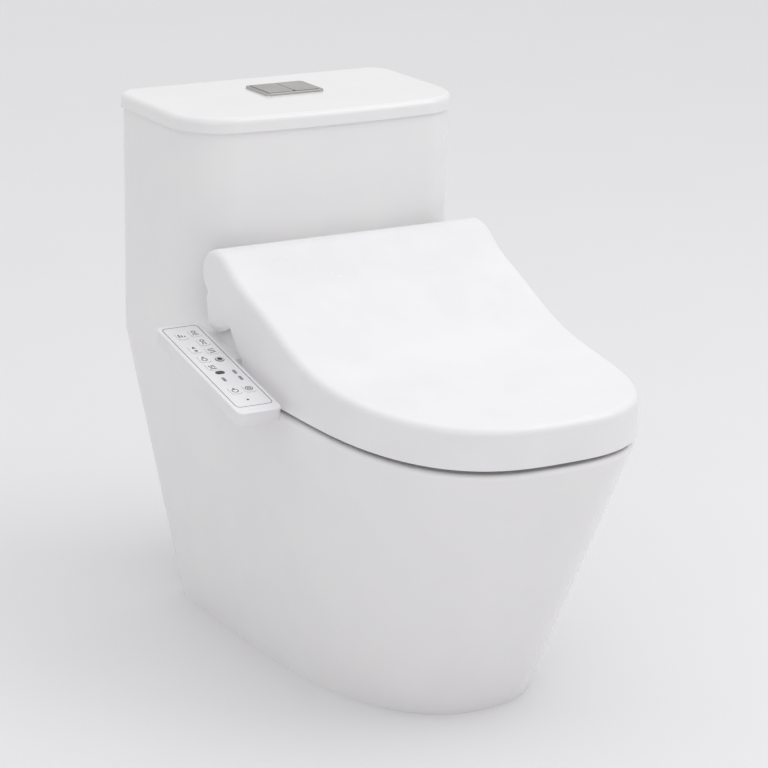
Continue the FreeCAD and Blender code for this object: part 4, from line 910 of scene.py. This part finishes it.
@dataclass
class ControlPanel(Assembly):
    """The side panel with its ten keys, window and lamps."""

    corner: Point = (-193.5, 55.0, 409.0)
    tilt: float = 12.0
    key_top: float = 0.6
    ink: float = 0.08
    # Width of the grey line that paints the shade of the groove round the key field.
    line: float = 0.8
    band: float = 1.2
    field_across: tuple[float, float] = (5.0, 53.0)
    field_along: tuple[float, float] = (7.0, 213.0)
    field_corner: float = 6.0
    point_rounding: float = 0.3
    key_places: tuple[tuple[str, float, float], ...] = (
        ("key_rear_wash", 18.0, 28.0), ("key_front_wash", 18.0, 52.0), ("key_dry", 18.0, 75.0),
        ("key_stop", 18.0, 97.0), ("key_massage", 18.0, 174.0), ("key_pressure", 36.5, 31.0),
        ("key_position", 36.5, 67.0), ("key_water_heat", 36.5, 92.0), ("key_seat_heat", 36.5, 113.0),
        ("key_power", 36.5, 174.0),
    )

    def nodes(self) -> tuple[str, ...]:
        """The panel's shells, inlays and keys."""
        fixed = ("panel_housing", "panel_cover", "panel_board", "panel_window", "panel_lamps", "power_lamp")
        return fixed + tuple(name for name, _, _ in self.key_places)

    def frame_matrix(self) -> Matrix:
        """The panel's own frame: Z out of its face, -Y towards its front end."""
        return Matrix.Translation(Vector(self.corner) * MM) @ Matrix.Rotation(math.radians(self.tilt), 4, "X")

    def detail(self) -> None:
        """Draw the painted shade of the groove round the key field, and print the key symbols."""
        self._paint_groove_shade()
        for name, across, along in self.key_places:
            self._symbol(name, across, along)

    def _paint_groove_shade(self) -> None:
        """Painted shade: a thin raised grey line in place of the shade in the groove round the key field."""
        wide = self.field_across[1] - self.field_across[0]
        long = self.field_along[1] - self.field_along[0]
        middle = (-sum(self.field_across) / 2, -sum(self.field_along) / 2, 0.0)
        bpy.ops.mesh.primitive_plane_add(size=1.0, location=Vector(middle) * MM)
        groove_shade = bpy.context.object
        groove_shade.scale = (wide * MM, long * MM, 1.0)
        alone(groove_shade)
        bpy.ops.object.transform_apply(location=False, rotation=False, scale=True)
        with editing(groove_shade, "VERT"):
            bpy.ops.mesh.select_all(action="SELECT")
            bpy.ops.mesh.bevel(offset=self.field_corner * MM, segments=6, affect="VERTICES")
        with editing(groove_shade, "FACE"):
            bpy.ops.mesh.select_all(action="SELECT")
            bpy.ops.mesh.inset(thickness=self.line * MM)
            bpy.ops.mesh.delete(type="FACE")
            bpy.ops.mesh.select_all(action="SELECT")
            bpy.ops.mesh.extrude_region_move(TRANSFORM_OT_translate={"value": (0, 0, self.ink * MM)})
        settle(groove_shade, "key_field_groove_shade", self.frame_matrix())
        # The grey ink here is painted shade: it stands in for the shadow in the groove round the key field.
        self.place(groove_shade, "base", SLOT_OF_NODE["panel_cover"], INK_AND_GROOVE_SHADE)

    def _symbol(self, key: str, across: float, along: float) -> None:
        """Print one key's symbol on its cap.

        Args:
            key: The key's node, which is also its body.
            across: The key's place across the panel, in millimetres.
            along: The key's place along the panel, in millimetres.
        """
        z = self.key_top + self.ink / 4
        forms = []
        for stroke in KEY_SYMBOLS[key]:
            centre = (-across + stroke.across, -along - stroke.along, z)
            if stroke.form is Mark.RING:
                forms.append(ring(stroke.size, stroke.length or self.band, self.ink, centre))
            elif stroke.form is Mark.POINT:
                forms.append(self._point(stroke, centre))
            else:
                forms.append(bar(stroke.size, stroke.length, self.ink, centre, stroke.turn))
        name = key.replace("key_", "symbol_")
        symbol = settle(join(forms, name), name, self.frame_matrix())
        self.place(symbol, key, SLOT_OF_NODE[key], WHITE_INK if key == "key_stop" else INK_AND_GROOVE_SHADE)

    def _point(self, stroke: Stroke, centre: Point) -> bpy.types.Object:
        """An arrowhead with softened corners.

        Args:
            stroke: Its size and turn.
            centre: Its middle, in millimetres.

        Returns:
            The arrowhead.
        """
        piece = prism(3, stroke.size, self.ink, centre)
        piece.rotation_euler = (0, 0, math.radians(stroke.turn - 90))
        soften(piece, upright, self.point_rounding, 2)
        return piece


# ---------------------------------------------------------------- studio
@dataclass
class Studio:
    """Pale floor, soft lamps and the camera of the photograph's view."""

    floor_size: float = 40.0
    floor_tone: str = "eae9ea"
    floor_second: str = "e8e7e8"
    floor_roughness: float = 0.7
    floor_noise_scale: float = 3.0
    aim: Point = (-0.01853, -0.065, 0.33538)
    distance: float = 3.4502
    azimuth: float = -30.11
    elevation: float = 17.033
    roll: float = 0.914
    lens: float = 132.38
    shift: tuple[float, float] = (0.01818, 0.00266)
    view_reach: float = 100.0
    key_place: Point = (1.9, -1.4, 3.0)
    key_size: float = 2.6
    key_power: float = 25.0
    fill_place: Point = (-2.6, -2.4, 1.6)
    fill_size: float = 2.2
    fill_power: float = 8.0
    light_tone: str = "f8f8f9"
    backdrop_tone: str = "e6e5e6"
    horizon_light: float = 0.2
    zenith_light: float = 1.32

    def build(self) -> None:
        """Make the floor, the world, the lamps and the camera."""
        self._floor()
        self._world()
        self._lamp("key_softbox", self.key_place, self.key_size, self.key_power)
        self._lamp("fill_softbox", self.fill_place, self.fill_size, self.fill_power)
        self._camera()
        LOG.info("studio: floor, 2 lamps, camera")

    def _floor(self) -> None:
        """A plain matt floor that keeps the object's shadow."""
        bpy.ops.mesh.primitive_plane_add(size=self.floor_size, location=(0, 0, 0))
        floor = bpy.context.object
        floor.name = "studio_floor"
        material = bpy.data.materials.new("matt_floor_paint")
        material.use_nodes = True
        tree = material.node_tree
        shader = tree.nodes["Principled BSDF"]
        place = add_node(tree, "ShaderNodeTexCoord").outputs["Object"]
        noise = add_node(tree, "ShaderNodeTexNoise", None,
                         {"Vector": place, "Scale": self.floor_noise_scale, "Detail": 2.0})
        mix = add_node(tree, "ShaderNodeMix", {"data_type": "RGBA"},
                       {"Factor": noise.outputs["Fac"], "A": paint(self.floor_tone),
                        "B": paint(self.floor_second)})
        tree.links.new(mix.outputs["Result"], shader.inputs["Base Color"])
        shader.inputs["Roughness"].default_value = self.floor_roughness
        floor.data.materials.append(material)

    def _world(self) -> None:
        """A surround that lights from above and that camera and reflections see as an even grey."""
        world = bpy.data.worlds.new("pale_surround")
        bpy.context.scene.world = world
        world.use_nodes = True
        tree = world.node_tree
        tree.nodes.clear()
        rays = add_node(tree, "ShaderNodeLightPath")
        seen = add_node(tree, "ShaderNodeMath", {"operation": "MAXIMUM"},
                        {0: rays.outputs["Is Camera Ray"], 1: rays.outputs["Is Glossy Ray"]})
        height = add_node(tree, "ShaderNodeSeparateXYZ", None,
                          {0: add_node(tree, "ShaderNodeTexCoord").outputs["Generated"]}).outputs["Z"]
        level = add_node(tree, "ShaderNodeMapRange", None,
                         {"Value": height, "To Min": self.horizon_light, "To Max": self.zenith_light})
        light = add_node(tree, "ShaderNodeBackground", None,
                         {"Color": paint(self.light_tone), "Strength": level.outputs["Result"]})
        shown = add_node(tree, "ShaderNodeBackground", None,
                         {"Color": paint(self.backdrop_tone), "Strength": 1.0})
        mix = add_node(tree, "ShaderNodeMixShader", None,
                       {0: seen.outputs[0], 1: light.outputs[0], 2: shown.outputs[0]})
        add_node(tree, "ShaderNodeOutputWorld", None, {"Surface": mix.outputs[0]})

    def _lamp(self, name: str, place: Point, size: float, power: float) -> None:
        """Add one square softbox aimed at the object.

        Args:
            name: The lamp's name.
            place: Its position, in metres.
            size: Its side, in metres.
            power: Its power, in watts.
        """
        data = bpy.data.lights.new(name, "AREA")
        data.shape = "SQUARE"
        data.size = size
        data.energy = power
        lamp = bpy.data.objects.new(name, data)
        bpy.context.scene.collection.objects.link(lamp)
        lamp.location = place
        lamp.rotation_mode = "QUATERNION"
        lamp.rotation_quaternion = (Vector(self.aim) - Vector(place)).to_track_quat("-Z", "Y")

    def _camera(self) -> None:
        """Put the camera where the photograph was taken from."""
        across, up = math.radians(self.azimuth), math.radians(self.elevation)
        back = Vector((math.sin(across) * math.cos(up), -math.cos(across) * math.cos(up), math.sin(up)))
        right = (-back).cross(Vector((0, 0, 1))).normalized()
        upward = right.cross(-back)
        turn = math.radians(self.roll)
        level = right * math.cos(turn) + upward * math.sin(turn)
        rise = upward * math.cos(turn) - right * math.sin(turn)
        data = bpy.data.cameras.new("camera")
        data.lens = self.lens
        data.shift_x, data.shift_y = self.shift
        camera = bpy.data.objects.new("camera", data)
        bpy.context.scene.collection.objects.link(camera)
        pose = Matrix((level, rise, back)).transposed().to_4x4()
        pose.translation = Vector(self.aim) + back * self.distance
        camera.matrix_world = pose
        data.clip_end = self.view_reach
        bpy.context.scene.camera = camera


def main() -> None:
    """Build everything in order and report each piece."""
    logging.basicConfig(level=logging.INFO, format="%(name)s: %(message)s")
    bpy.context.scene.view_settings.view_transform = "Standard"
    book = FinishBook()
    for group in (Ceramics(book), FlushGear(book), WashUnit(book), SeatAndLid(book), ControlPanel(book)):
        group.build()
    Studio().build()


if __name__ == "__main__":
    main()
